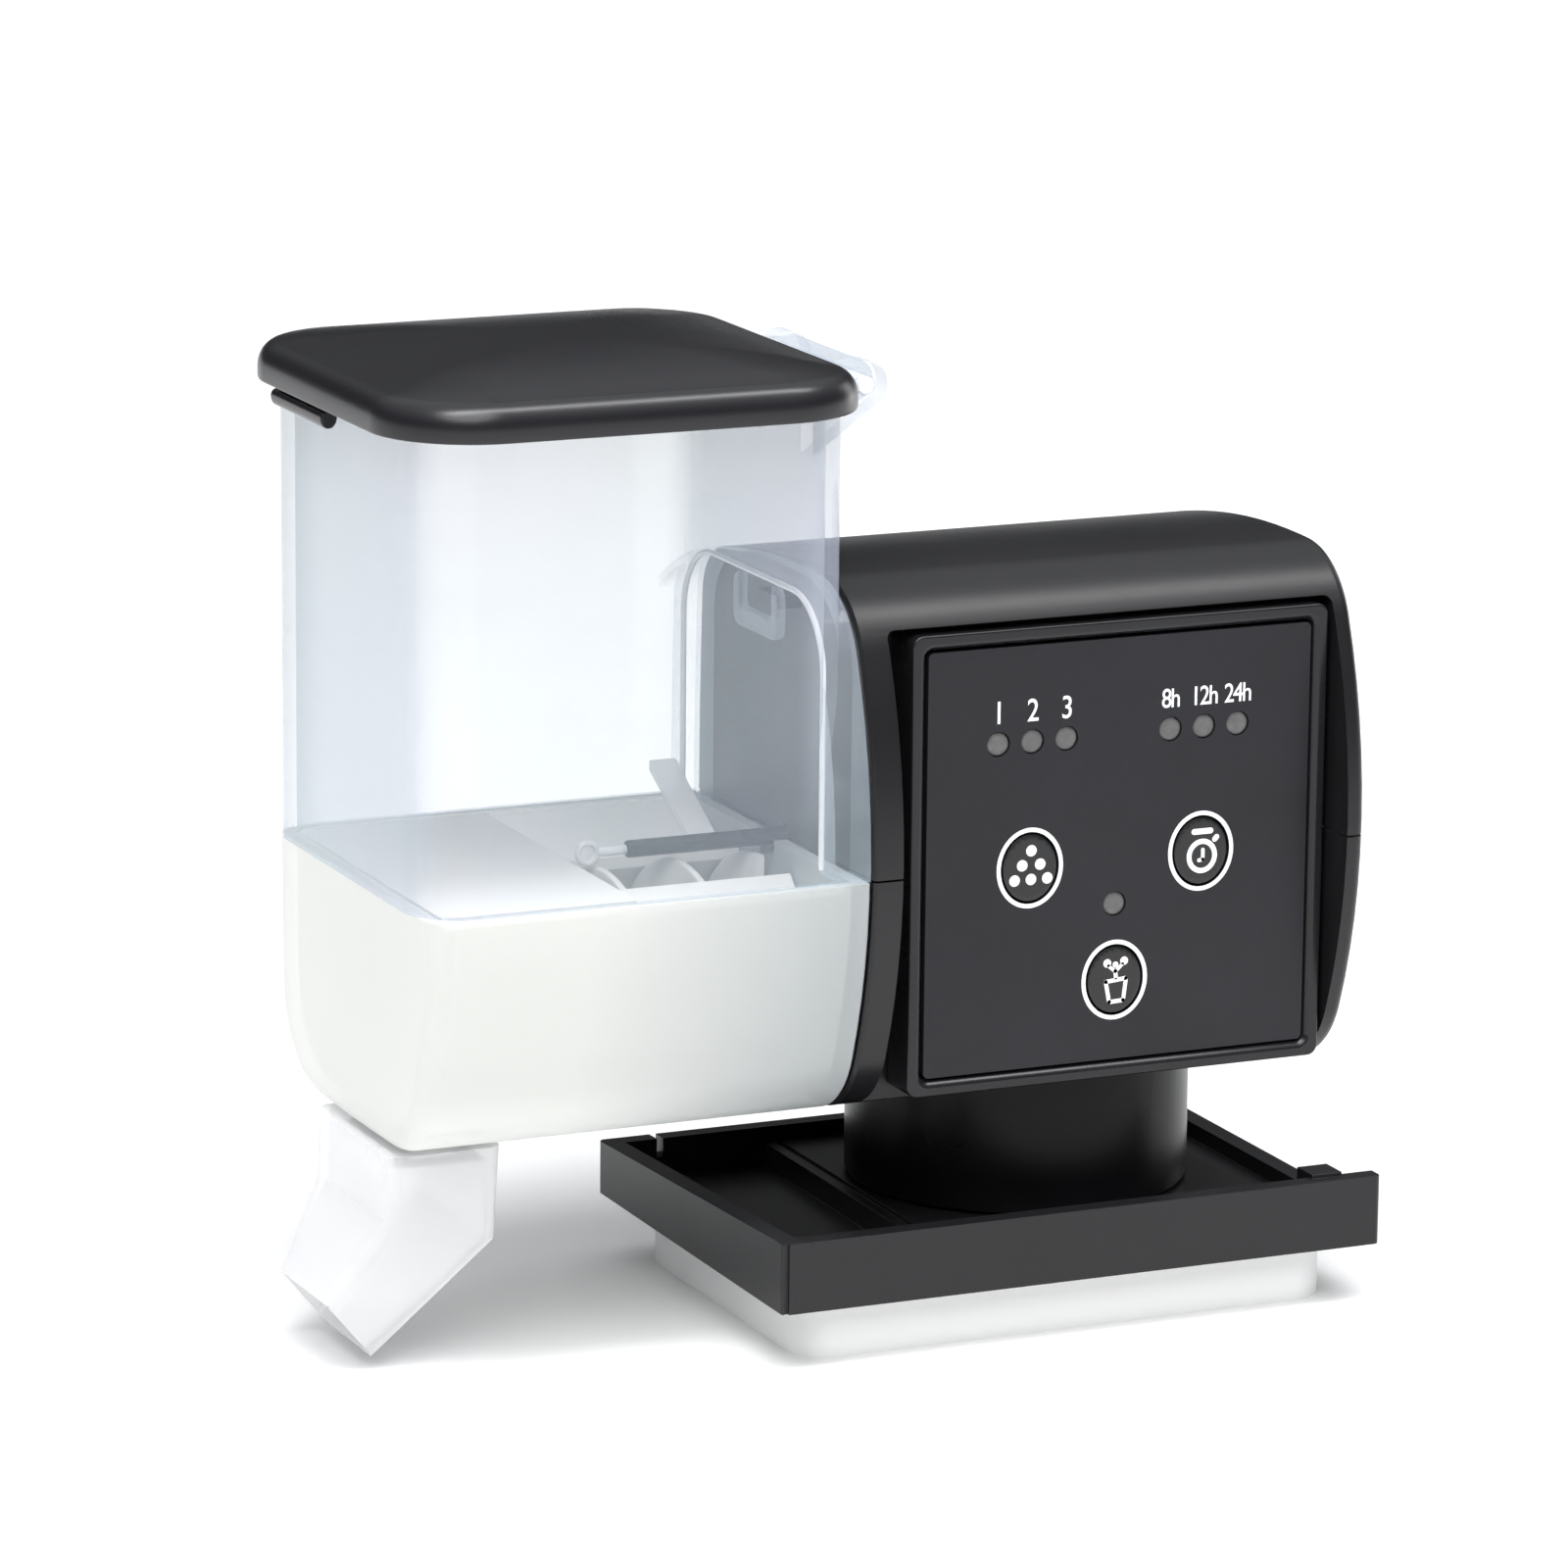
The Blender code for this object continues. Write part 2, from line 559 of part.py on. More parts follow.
def make_gear_plate():
    x = PLATE_X
    plate = block("gear_plate", x, (-13.5, 12.5), (37.5, 91.0), STEEL)
    cut(plate,
        disc("output_bearing", "X", OUTPUT_CENTRE, 2.8, x[0] - 2, x[1] + 2, sides=ROUND),
        disc("axle_seat", "X", IDLER_CENTRE, 1.3, x[0] - 2, x[0] + 1.2),
        disc("motor_pilot", "X", MOTOR_CENTRE, 3.6, x[0] - 2, x[1] + 2, sides=ROUND))
    return plate


def make_motor():
    motor = disc("motor", "X", MOTOR_CENTRE, 10.0, PLATE_X[1] + GAP, 7.5, STEEL, sides=ROUND)
    join(motor,
         disc("motor_nose", "X", MOTOR_CENTRE, 3.2, PLATE_X[0], PLATE_X[1] + 1.0, sides=ROUND),
         disc("motor_tail", "X", MOTOR_CENTRE, 4.0, 7.0, 9.0, sides=ROUND))
    cut(motor, disc("motor_bore", "X", MOTOR_CENTRE, 1.3, -30.0, -11.5))
    return motor


def make_bush():
    wall = (HOUSING_X[0], HOUSING_X[0] + SHELL_WALL)
    bush = disc("drive_bush", "X", OUTPUT_CENTRE, 5.0, wall[0], wall[1] + 0.6, WHITE, sides=ROUND)
    join(bush, disc("bush_flange", "X", OUTPUT_CENTRE, 6.6, wall[1] + GAP, wall[1] + 1.1, sides=ROUND))
    cut(bush, disc("bush_bore", "X", OUTPUT_CENTRE, 2.8, -40.0, -20.0, sides=ROUND))
    return bush


# ---- battery ----
def make_battery():
    x = (COVER_X[0] + 0.2, COVER_X[1] - 0.2)
    room = CELL_RADIUS + GAP
    box = block("battery_box", (x[0] - 1.2, x[1] + 1.2), (10.6, 28.2), (26.2, 58.9), BLACK)
    combine(box, [body_prism("box_limit", SHELL_WALL + GAP, HOUSING_X)], "INTERSECT")
    cut(box,
        block("cell_room", x, (CELL_Y, 40.0), (CELL_Z[0] - room, CELL_Z[1] + room)),
        *[disc(f"cell_seat_{i}", "X", (CELL_Y, z), room, x[0], x[1], sides=ROUND)
          for i, z in enumerate(CELL_Z)])
    low = 0.5 * (x[0] + x[1] - CELL_LENGTH)
    for name, z in zip(("cell_lower", "cell_upper"), CELL_Z):
        cell = disc(name, "X", (CELL_Y, z), CELL_RADIUS, low, low + CELL_LENGTH - 1.2, CELL_GREEN,
                    sides=ROUND)
        join(cell, disc("cell_nipple", "X", (CELL_Y, z), 2.7, low + CELL_LENGTH - 2.0, low + CELL_LENGTH))
    for name, side in (("contact_left", x[0] + GAP), ("contact_right", x[1] - GAP - 0.5)):
        block(name, (side, side + 0.5), (CELL_Y + 0.4, CELL_Y + 5.0), (CELL_Z[0] - 4.0, CELL_Z[1] + 4.0),
              BRASS)


def make_battery_cover():
    """Door in the housing's back, curved as the housing is, with three finger ridges."""
    cover = body_prism("battery_cover", 0.0, (COVER_X[0] + GAP, COVER_X[1] - GAP), BLACK)
    cut(cover, body_prism("cover_inside", SHELL_WALL - 0.3, (-FAR, FAR)))
    keep = block("cover_limit", (-FAR, FAR), (10.0, 50.0), (COVER_Z[0] + GAP, COVER_Z[1] - GAP))
    combine(cover, [keep], "INTERSECT")
    ridges = [block(f"ridge_{i}", (30.0 + 1.8 * i, 30.9 + 1.8 * i), (BACK_Y - 0.9, BACK_Y + 0.6),
                    (42.0, 52.0)) for i in range(3)]
    join(cover, *ridges)
    return cover


def make_stirrer_bar():
    bar = disc("stirrer_bar", "X", BAR_CENTRE, BAR_RADIUS, -57.5, -29.6, BLACK)
    join(bar, disc("bar_neck", "X", BAR_CENTRE, 0.7, -61.4, -57.0))
    ring_centre = (BAR_RING_X, BAR_CENTRE[1])
    ring = disc("ring", "Y", ring_centre, 1.9, -0.6, 0.6)
    cut(ring, disc("ring_hole", "Y", ring_centre, 1.0, -2.0, 2.0))
    join(bar, ring)
    return bar


# ---- hopper module ----
def make_hopper():
    y = (-HOPPER_HALF_Y, HOPPER_HALF_Y)
    bottom = SPLIT_Z + GAP
    hopper = prism("hopper", rounded_rectangle(HOPPER_X, y, HOPPER_CORNER), "Z", bottom, HOPPER_TOP, CLEAR)
    cuff = body_prism("cuff", 0.0, CUFF_X)
    cut(cuff, half_space(False, bottom))
    join(hopper, cuff)
    ears = [hinge_ear(f"ear_{i}", low, high) for i, (low, high) in
            enumerate((EAR_Y, (-EAR_Y[1], -EAR_Y[0])))]
    join(hopper, *ears)
    inner_x = (HOPPER_X[0] + CLEAR_WALL, HOPPER_X[1] - CLEAR_WALL)
    inner_y = (y[0] + CLEAR_WALL, y[1] - CLEAR_WALL)
    arch = prism("arch", rounded_rectangle((-ARCH_HALF_Y, ARCH_HALF_Y), (40.0, ARCH_TOP), 10.0), "X",
                 HOPPER_X[1] - CLEAR_WALL - 1.0, -30.0)
    cuff_room = body_prism("cuff_room", CLEAR_WALL, (CUFF_X[0] + 0.4, HOPPER_X[1] - CLEAR_WALL - 0.2))
    cut(hopper,
        prism("hopper_room", rounded_rectangle(inner_x, inner_y, HOPPER_CORNER - CLEAR_WALL), "Z",
              bottom - 5.0, HOPPER_TOP + 5.0),
        cuff_room,
        arch)
    cut(hopper, disc("pin_bore", "Y", HINGE_XZ, 1.5, -20.0, 20.0))
    return hopper


def hinge_ear(name, low, high):
    """A lug around the lid's axis, on a triangular web from the hopper's wall."""
    x, z = HINGE_XZ
    lug = [(x + HINGE_RADIUS * cos(angle), z + HINGE_RADIUS * sin(angle))
           for angle in [(-40 + 15 * i) * pi / 180 for i in range(15)]]
    wall = HOPPER_X[1] - 0.8
    under_lid = LID_Z[0] - 0.4
    web = [(LID_X[1] + 0.5, under_lid), (wall, under_lid), (wall, 116.8)]
    return prism(name, lug + web, "Y", low, high)


def make_hinge_pin():
    return disc("hinge_pin", "Y", HINGE_XZ, 1.2, -EAR_Y[1] - 0.4, EAR_Y[1] + 0.4, CLEAR)


def make_latch_tab():
    """Flexible loop at the top of the arch, around the housing's nib."""
    tab = prism("latch_tab", rounded_rectangle((-9.2, 6.0), (90.2, ARCH_TOP - GAP), 2.0, 3), "X",
                -38.2, -36.7, CLEAR)
    cut(tab, block("tab_window", (-45.0, -30.0), (-7.2, 4.0), (93.0, 99.0)))
    return tab


def make_guide_plate():
    """Clear slanted strip beside the arch that leads food down to the open screw."""
    outline = [(26.8, 66.2), (11.2, 57.9), (11.2, 56.3), (26.8, 64.6)]
    return prism("guide_plate", outline, "X", -42.2, -37.9, CLEAR, smooth=False)


def make_trough():
    trough = body_prism("trough", 0.0, TROUGH_X, MILKY)
    inner = (TROUGH_X[0] + CLEAR_WALL, TROUGH_X[1] - CLEAR_WALL)
    cut(trough,
        half_space(True, SPLIT_Z),
        body_prism("trough_room", CLEAR_WALL, inner),
        disc("hub_hole", "X", OUTPUT_CENTRE, 8.0, -40.0, -30.0, sides=ROUND),
        block("bar_notch", (-40.0, -30.0), (-2.4, 2.4), (57.4, 70.0)),
        block("drop_hole", (-94.6, -84.6), (-11.0, 11.0), (10.0, 32.0)))
    return trough


def make_auger_bed():
    """Barrel around the feed screw, with a floor that leads the food into its open right half."""
    x = (-95.6, -35.6)
    half = 28.0
    bed = disc("auger_bed", "X", OUTPUT_CENTRE, SCREW_RADIUS + 1.9, x[0], x[1], MILKY, sides=ROUND)
    valley = [(-half, 59.6), (-9.4, 54.6), (9.4, 54.6), (half, 59.6),
              (half, 58.0), (9.4, 53.0), (-9.4, 53.0), (-half, 58.0)]
    join(bed,
         prism("valley", valley, "X", SLOT_X[0] - 0.6, x[1], smooth=False),
         block("deck", (x[0], SLOT_X[0]), (-half, half), (58.4, 60.2)),
         block("step", (SLOT_X[0] - 1.4, SLOT_X[0]), (-half, half), (53.2, 60.0)))
    cut(bed,
        disc("barrel", "X", OUTPUT_CENTRE, SCREW_RADIUS + 0.5, -94.2, x[1] + 5.0, sides=ROUND),
        disc("end_bearing", "X", OUTPUT_CENTRE, 2.2, x[0] - 2.0, -90.0),
        block("slot", SLOT_X, (-9.0, 9.0), (48.0, 70.0)),
        block("barrel_drop", (-94.0, -84.8), (-9.5, 9.5), (20.0, 42.0)))
    return bed


def make_chute():
    """Square tube that drops from the barrel's open end and turns away under the trough."""
    top = HOUSING_Z[0] - GAP
    levels = (((-98.4, -81.4), (top, top), 15.0), ((-98.4, -82.2), (13.7, 9.8), 15.0),
              ((-105.8, -98.6), (1.7, -7.0), 10.0))
    wall = 1.5

    def tube(name, shrink, stretch, look=None):
        bm = bmesh.new()
        rings = []
        for index, (x, z, half) in enumerate(levels):
            left = Vector((x[0], 0.0, z[0]))
            right = Vector((x[1], 0.0, z[1]))
            across = (right - left).normalized()
            along = Vector((across.z, 0.0, -across.x))
            shift = along * (stretch if index == 2 else (-stretch if index == 0 else 0.0))
            ring = []
            for end, inward in ((left, across), (right, -across)):
                base = end + inward * shrink + shift
                ring.append((base, half - shrink))
            corners = [Vector((ring[0][0].x, -ring[0][1], ring[0][0].z)),
                       Vector((ring[1][0].x, -ring[1][1], ring[1][0].z)),
                       Vector((ring[1][0].x, ring[1][1], ring[1][0].z)),
                       Vector((ring[0][0].x, ring[0][1], ring[0][0].z))]
            rings.append([bm.verts.new(corner) for corner in corners])
        for lower, upper in zip(rings[1:], rings):
            for i in range(4):
                j = (i + 1) % 4
                bm.faces.new((upper[i], upper[j], lower[j], lower[i]))
        bm.faces.new(rings[0])
        bm.faces.new(list(reversed(rings[-1])))
        return finish(name, bm, look, smooth=False)

    chute = tube("chute", 0.0, 0.0, MILKY)
    cut(chute, tube("chute_room", wall, 4.0))
    neck = block("chute_neck", (-94.2, -85.0), (-10.6, 10.6), (21.1, 27.6))
    flange = block("chute_flange", (-96.9, -82.9), (-13.6, 13.6), (21.2, top))
    join(chute, flange, neck)
    cut(chute, block("neck_room", (-93.0, -86.2), (-9.4, 9.4), (10.0, 40.0)))
    return chute


def make_auger():
    """Feed screw: a helical flight on a shaft, with a hexagonal socket for the drive."""
    start, end = FLIGHT_X
    auger = disc("auger", "X", OUTPUT_CENTRE, SCREW_SHAFT, start - 1.6, -44.0, WHITE)
    steps_per_turn = 20
    steps = int(round((end - start) / SCREW_PITCH * steps_per_turn))
    half_root = 1.2
    half_tip = 0.7
    root = SCREW_SHAFT - 1.2
    bm = bmesh.new()
    rings = []
    for step in range(steps + 1):
        along = start + (end - start) * step / steps
        angle = 0.5 * pi + 2 * pi * (along - FLIGHT_TOP_X) / SCREW_PITCH
        ring = []
        for radius, shift in ((root, -half_root), (SCREW_RADIUS, -half_tip),
                              (SCREW_RADIUS, half_tip), (root, half_root)):
            ring.append(bm.verts.new((along + shift, radius * cos(angle), SCREW_Z + radius * sin(angle))))
        rings.append(ring)
    for first, second in zip(rings, rings[1:]):
        for i in range(4):
            j = (i + 1) % 4
            bm.faces.new((first[i], first[j], second[j], second[i]))
    bm.faces.new(list(reversed(rings[0])))
    bm.faces.new(rings[-1])
    flight = finish("flight", bm, None)
    join(auger,
         flight,
         disc("hub", "X", OUTPUT_CENTRE, 7.0, -46.5, -34.4, sides=ROUND),
         disc("end_journal", "X", OUTPUT_CENTRE, 1.9, -95.4, -93.0))
    cut(auger, prism("socket", circle(OUTPUT_CENTRE, 4.9, 6), "X", -39.4, -30.0, smooth=False))
    return auger


# ---- lid ----
def make_lid():
    y = (-LID_HALF_Y, LID_HALF_Y)
    lid = prism("lid", rounded_rectangle(LID_X, y, LID_CORNER, 8), "Z", LID_Z[0], LID_Z[1], LID_BLACK)
    join(lid, lid_crown(y))
    room_x = (HOPPER_X[0] - 0.7, HOPPER_X[1] + 0.6)
    room_y = (-HOPPER_HALF_Y - 0.7, HOPPER_HALF_Y + 0.7)
    cut(lid, prism("lid_room", rounded_rectangle(room_x, room_y, HOPPER_CORNER), "Z", 120.0, 129.2))
    x, z = HINGE_XZ
    knuckle_y = (-EAR_Y[0] + GAP, EAR_Y[0] - GAP)
    arm = prism("arm", [(LID_X[1] - 1.2, 126.6), (x, z - 2.0), (x, z + 3.0), (LID_X[1] - 1.2, 130.4)],
                "Y", *knuckle_y, smooth=False)
    join(lid, arm, disc("knuckle", "Y", (x, z), 3.1, *knuckle_y))
    cut(lid, disc("knuckle_bore", "Y", (x, z), 1.5, -20.0, 20.0))
    return lid


def lid_crown(y):
    """Shallow domed top: rings of the lid's outline that shrink as they rise."""
    bm = bmesh.new()
    rings = []
    levels = 5
    for level in range(levels + 1):
        share = level / levels
        inset = 1.0 + 26.0 * share
        height = LID_Z[1] - 0.4 + (LID_CROWN + 0.4) * (1 - (1 - share) ** 2.4)
        radius = max(LID_CORNER - inset * 0.55, 3.0)
        outline = rounded_rectangle((LID_X[0] + inset, LID_X[1] - inset), (y[0] + inset, y[1] - inset),
                                    min(radius, LID_HALF_Y - inset - 0.5), 8)
        rings.append([bm.verts.new((px, py, height)) for px, py in outline])
    for lower, upper in zip(rings, rings[1:]):
        count = len(lower)
        for i in range(count):
            j = (i + 1) % count
            bm.faces.new((lower[i], lower[j], upper[j], upper[i]))
    bm.faces.new(list(reversed(rings[0])))
    bm.faces.new(rings[-1])
    return finish("crown", bm, None)


def make_lid_catch():
    """Finger lip that hangs under the lid's left edge."""
    outline = [(-102.3, 125.8), (-102.9, 124.9), (-102.5, 123.6), (-101.4, 123.3), (-100.5, 124.2),
               (-100.3, 125.8)]
    return prism("lid_catch", outline, "Y", *CATCH_Y, LID_BLACK, smooth=False)


def build():
    make_tray()
    make_pedestal()
    make_pivot_fasteners()
    make_lower_shell()
    make_upper_shell()
    make_case_screws()
    make_pedestal_screws()
    make_panel()
    make_drive()
    make_battery()
    make_battery_cover()
    make_stirrer_bar()
    make_hopper()
    make_hinge_pin()
    make_latch_tab()
    make_guide_plate()
    make_trough()
    make_auger_bed()
    make_chute()
    make_auger()
    make_lid()
    make_lid_catch()


clear_scene()
build()
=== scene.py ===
"""Looks of the automatic fish feeder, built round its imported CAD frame.

Same frame as the CAD: X to the right along the feed screw, -Y to the front, Z up.
Helper shapes are in millimetres, and become metres when a piece is finished.
"""
from math import atan2, cos, hypot, pi, radians, sin, sqrt

import bmesh
import bpy
from mathutils import Matrix, Vector


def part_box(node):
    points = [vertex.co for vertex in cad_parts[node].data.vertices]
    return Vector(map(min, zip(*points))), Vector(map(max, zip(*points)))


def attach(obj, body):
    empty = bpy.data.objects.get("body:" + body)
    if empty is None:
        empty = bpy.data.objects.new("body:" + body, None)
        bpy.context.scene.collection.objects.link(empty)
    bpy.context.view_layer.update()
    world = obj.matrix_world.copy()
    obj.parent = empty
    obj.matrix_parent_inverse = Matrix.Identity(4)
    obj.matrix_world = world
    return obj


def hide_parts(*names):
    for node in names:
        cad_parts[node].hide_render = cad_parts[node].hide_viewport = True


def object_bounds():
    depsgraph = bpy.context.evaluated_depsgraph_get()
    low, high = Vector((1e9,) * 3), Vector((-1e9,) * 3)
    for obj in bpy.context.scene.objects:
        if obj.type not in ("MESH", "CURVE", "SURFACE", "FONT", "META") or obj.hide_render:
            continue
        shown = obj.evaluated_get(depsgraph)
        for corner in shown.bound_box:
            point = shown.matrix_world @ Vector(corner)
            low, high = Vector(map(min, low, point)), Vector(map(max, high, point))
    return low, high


MM = 0.001
FAR = 80.0                     # past the housing's outline, for cutting shapes
TURN = 2 * pi
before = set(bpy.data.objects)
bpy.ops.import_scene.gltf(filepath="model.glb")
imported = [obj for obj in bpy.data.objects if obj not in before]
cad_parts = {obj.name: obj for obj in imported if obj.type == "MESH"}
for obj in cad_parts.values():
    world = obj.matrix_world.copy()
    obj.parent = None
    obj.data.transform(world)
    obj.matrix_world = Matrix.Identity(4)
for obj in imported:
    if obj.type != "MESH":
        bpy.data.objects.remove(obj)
cad_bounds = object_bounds()


def span(node):
    """A CAD node's (low, high) along X, Y and Z, in millimetres."""
    low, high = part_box(node)
    return [(low[axis] / MM, high[axis] / MM) for axis in range(3)]


# ---- the same driving dimensions as the CAD, mm ----
TRAY = span("tray")
LOWER = span("lower_shell")
UPPER = span("upper_shell")
HOUSING_X = LOWER[0]
HOUSING_Z = (LOWER[2][0], UPPER[2][1])
SPLIT_Z = LOWER[2][1]
PIVOT = (6.7, 4.2)
SHELL_WALL = 2.2
GAP = 0.3
PANEL = span("panel_frame")
PLATE = span("panel_overlay")
RECESS_X = (-28.2, 41.3)
RECESS_TOP = 94.0
RECESS_FLOOR = -17.7
HOPPER_X = (-99.4, -35.5)
HOPPER_HALF_Y = 31.0
HOPPER_TOP = 128.0
HOPPER_CORNER = 8.5
CUFF_X = (-44.0, -33.2)
CLEAR_WALL = 2.0
ARCH_HALF_Y = 24.0
ARCH_TOP = 98.2
TROUGH = span("trough")
SCREW_Z = 45.0
HINGE_XZ = (-27.6, 127.0)
HINGE_RADIUS = 3.4
LID_RIGHT = -32.6
LID_Z = (126.1, 131.7)         # the rim, from its underside to where the crown starts
BAR_CENTRE = (0.0, 60.15)
BAR_HOLE = 1.55
AXIS = (0.0, SCREW_Z)
PIN_BORE = 1.5
SCREW_PILOT = 1.5

# The housing's end outline: four large circles as (Y, Z, radius), joined by rounded corners.
# A corner is its two sides, its radius, and the signs of Y and Z in its quarter.
FRONT_Y = -31.0
BACK_Y = 31.0
MIDDLE_Z = 60.0
SIDE_FRONT = (FRONT_Y + 80.0, 62.0, 80.0)
SIDE_TOP = (-6.0, HOUSING_Z[1] - 150.0, 150.0)
SIDE_BACK = (BACK_Y - 600.0, MIDDLE_Z, 600.0)
SIDE_BOTTOM = (0.0, HOUSING_Z[0] + 600.0, 600.0)
CORNERS = ((SIDE_TOP, SIDE_BACK, 8.0, 1, 1), (SIDE_FRONT, SIDE_TOP, 14.0, -1, 1),
           (SIDE_BOTTOM, SIDE_FRONT, 15.0, -1, -1), (SIDE_BACK, SIDE_BOTTOM, 15.0, 1, -1))


# ---- camera, floor and light ----
AZIMUTH, ELEVATION, ROLL = radians(-24.04), radians(13.05), radians(0.55)
DISTANCE = 1.0604
AIM = Vector((-0.03266, 0.0, 0.06751))
FOCAL_SHARE = 7635.8 / 1600    # focal length over the frame's width
SENSOR = 36.0
CLIP = (0.05, 50.0)
SKY_COLOUR = (0.96, 0.98, 1.0, 1.0)
SKY_STRENGTH = (0.04, 1.1)     # near the horizon and overhead
SKY_HEIGHT = (0.3, 1.0)        # a direction's Z at which each of those holds
SEEN_STRENGTH = 1.0            # where the camera looks past the floor
SUN_POWER, SUN_SPREAD = 2.3, radians(50)
SUN_DIRECTION = (0.25, 0.55, -0.8)
SOFTBOX_AIM = (0.0, 0.0, 0.06)
FLOOR_REACH = 15000.0
FLOOR_THICK = 4.0
FLOOR_CLEARANCE = 1.6          # under the chute's outlet, the object's lowest point
PLINTH_INSET = 5.0


def make_camera():
    back = Vector((sin(AZIMUTH) * cos(ELEVATION), -cos(AZIMUTH) * cos(ELEVATION), sin(ELEVATION)))
    data = bpy.data.cameras.new("camera")
    data.sensor_width = SENSOR
    data.lens = FOCAL_SHARE * SENSOR
    data.clip_start, data.clip_end = CLIP
    camera = bpy.data.objects.new("camera", data)
    bpy.context.scene.collection.objects.link(camera)
    turn = (-back).to_track_quat("-Z", "Y").to_matrix() @ Matrix.Rotation(ROLL, 3, "Z")
    camera.matrix_world = Matrix.Translation(AIM + back * DISTANCE) @ turn.to_4x4()
    bpy.context.scene.camera = camera


def place_light(data, place, direction):
    lamp = bpy.data.objects.new(data.name, data)
    bpy.context.scene.collection.objects.link(lamp)
    lamp.location = place
    lamp.rotation_mode = "QUATERNION"
    lamp.rotation_quaternion = Vector(direction).to_track_quat("-Z", "Y")


def softbox(name, place, size, power):
    data = bpy.data.lights.new(name, "AREA")
    data.shape = "RECTANGLE"
    data.size, data.size_y = size
    data.energy = power
    place_light(data, place, Vector(SOFTBOX_AIM) - Vector(place))


def make_sky():
    """Pale world that lights from overhead, and looks evenly bright behind the floor."""
    world = bpy.data.worlds.new("studio")
    bpy.context.scene.world = world
    world.use_nodes = True
    links = world.node_tree.links
    backdrop = world.node_tree.nodes["Background"]
    backdrop.inputs["Color"].default_value = SKY_COLOUR
    where = add(world, "ShaderNodeTexCoord")
    parts = add(world, "ShaderNodeSeparateXYZ")
    links.new(where.outputs["Generated"], parts.inputs["Vector"])
    strength = ramp(world, parts.outputs["Z"], *SKY_STRENGTH, SKY_HEIGHT)
    seen = add(world, "ShaderNodeLightPath")
    pick = add(world, "ShaderNodeMix")
    links.new(seen.outputs["Is Camera Ray"], pick.inputs["Factor"])
    links.new(strength, pick.inputs["A"])
    pick.inputs["B"].default_value = SEEN_STRENGTH
    links.new(pick.outputs["Result"], backdrop.inputs["Strength"])


def make_lights():
    sun = bpy.data.lights.new("window", "SUN")
    sun.energy = SUN_POWER
    sun.angle = SUN_SPREAD
    place_light(sun, (0.0, 0.0, 0.0), SUN_DIRECTION)
    softbox("top_softbox", place=(0.02, -0.2, 0.75), size=(0.9, 0.18), power=4.6)
    softbox("right_rim_softbox", place=(0.75, 0.3, 0.2), size=(0.25, 0.5), power=0.8)


def make_stage():
    """World, lights, the floor under the chute, and the plinth that the tray stands on."""
    bpy.context.scene.view_settings.view_transform = "Standard"
    make_sky()
    make_lights()
    floor_z = cad_bounds[0].z / MM - FLOOR_CLEARANCE
    reach = (-FLOOR_REACH, FLOOR_REACH)
    floor = block("floor", reach, reach, (floor_z - FLOOR_THICK, floor_z))
    foot = [(low + PLINTH_INSET, high - PLINTH_INSET) for low, high in TRAY[:2]]
    plinth = prism("stage_plinth", rounded_rectangle(*foot, 6.0), "Z", floor_z, TRAY[2][0] - 0.02)
    pale = plain("pale_floor", (0.93, 0.93, 0.93), 0.7)
    grain(pale, 260.0, 0.02, 0.62, 0.78)
    for thing in (floor, plinth):
        thing.data.materials.append(pale)


# ---- materials ----
def plain(name, colour, roughness, metallic=0.0, specular=0.5):
    made = bpy.data.materials.new(name)
    made.use_nodes = True
    shader = made.node_tree.nodes["Principled BSDF"]
    shader.inputs["Base Color"].default_value = (*colour, 1.0)
    shader.inputs["Roughness"].default_value = roughness
    shader.inputs["Metallic"].default_value = metallic
    shader.inputs["Specular IOR Level"].default_value = specular
    return made


def add(made, kind, **values):
    node = made.node_tree.nodes.new(kind)
    for name, value in values.items():
        setattr(node, name, value)
    return node


def noise(made, scale, detail=3.0, stretch=(1.0, 1.0, 1.0)):
    """Noise in object coordinates, in features per metre."""
    links = made.node_tree.links
    where = add(made, "ShaderNodeTexCoord")
    mapping = add(made, "ShaderNodeMapping")
    mapping.inputs["Scale"].default_value = stretch
    texture = add(made, "ShaderNodeTexNoise")
    texture.inputs["Scale"].default_value = scale
    texture.inputs["Detail"].default_value = detail
    links.new(where.outputs["Object"], mapping.inputs["Vector"])
    links.new(mapping.outputs["Vector"], texture.inputs["Vector"])
    return texture.outputs["Fac"]


def ramp(made, source, low, high, at=(0.3, 0.7)):
    """Map a value between the two in at onto the range from low to high."""
    node = add(made, "ShaderNodeMapRange")
    node.inputs["From Min"].default_value = at[0]
    node.inputs["From Max"].default_value = at[1]
    node.inputs["To Min"].default_value = low
    node.inputs["To Max"].default_value = high
    made.node_tree.links.new(source, node.inputs["Value"])
    return node.outputs["Result"]


def grain(made, scale, strength, rough_low, rough_high, broad=40.0):
    """Moulded surface: fine bump, and gloss that drifts slowly over the surface."""
    links = made.node_tree.links
    shader = made.node_tree.nodes["Principled BSDF"]
    bump = add(made, "ShaderNodeBump")
    bump.inputs["Strength"].default_value = strength
    bump.inputs["Distance"].default_value = 0.0001
    links.new(noise(made, scale * 10.0, 2.0), bump.inputs["Height"])
    links.new(bump.outputs["Normal"], shader.inputs["Normal"])
    links.new(ramp(made, noise(made, broad), rough_low, rough_high), shader.inputs["Roughness"])
    return made


def mottle(made, first, second, scale, stretch=(1.0, 1.0, 1.0)):
    """Base colour that varies a little between two shades."""
    node = add(made, "ShaderNodeMix", data_type="RGBA")
    node.inputs["A"].default_value = (*first, 1.0)
    node.inputs["B"].default_value = (*second, 1.0)
    links = made.node_tree.links
    links.new(ramp(made, noise(made, scale, 4.0, stretch), 0.0, 1.0), node.inputs["Factor"])
    links.new(node.outputs["Result"], made.node_tree.nodes["Principled BSDF"].inputs["Base Color"])
    return made


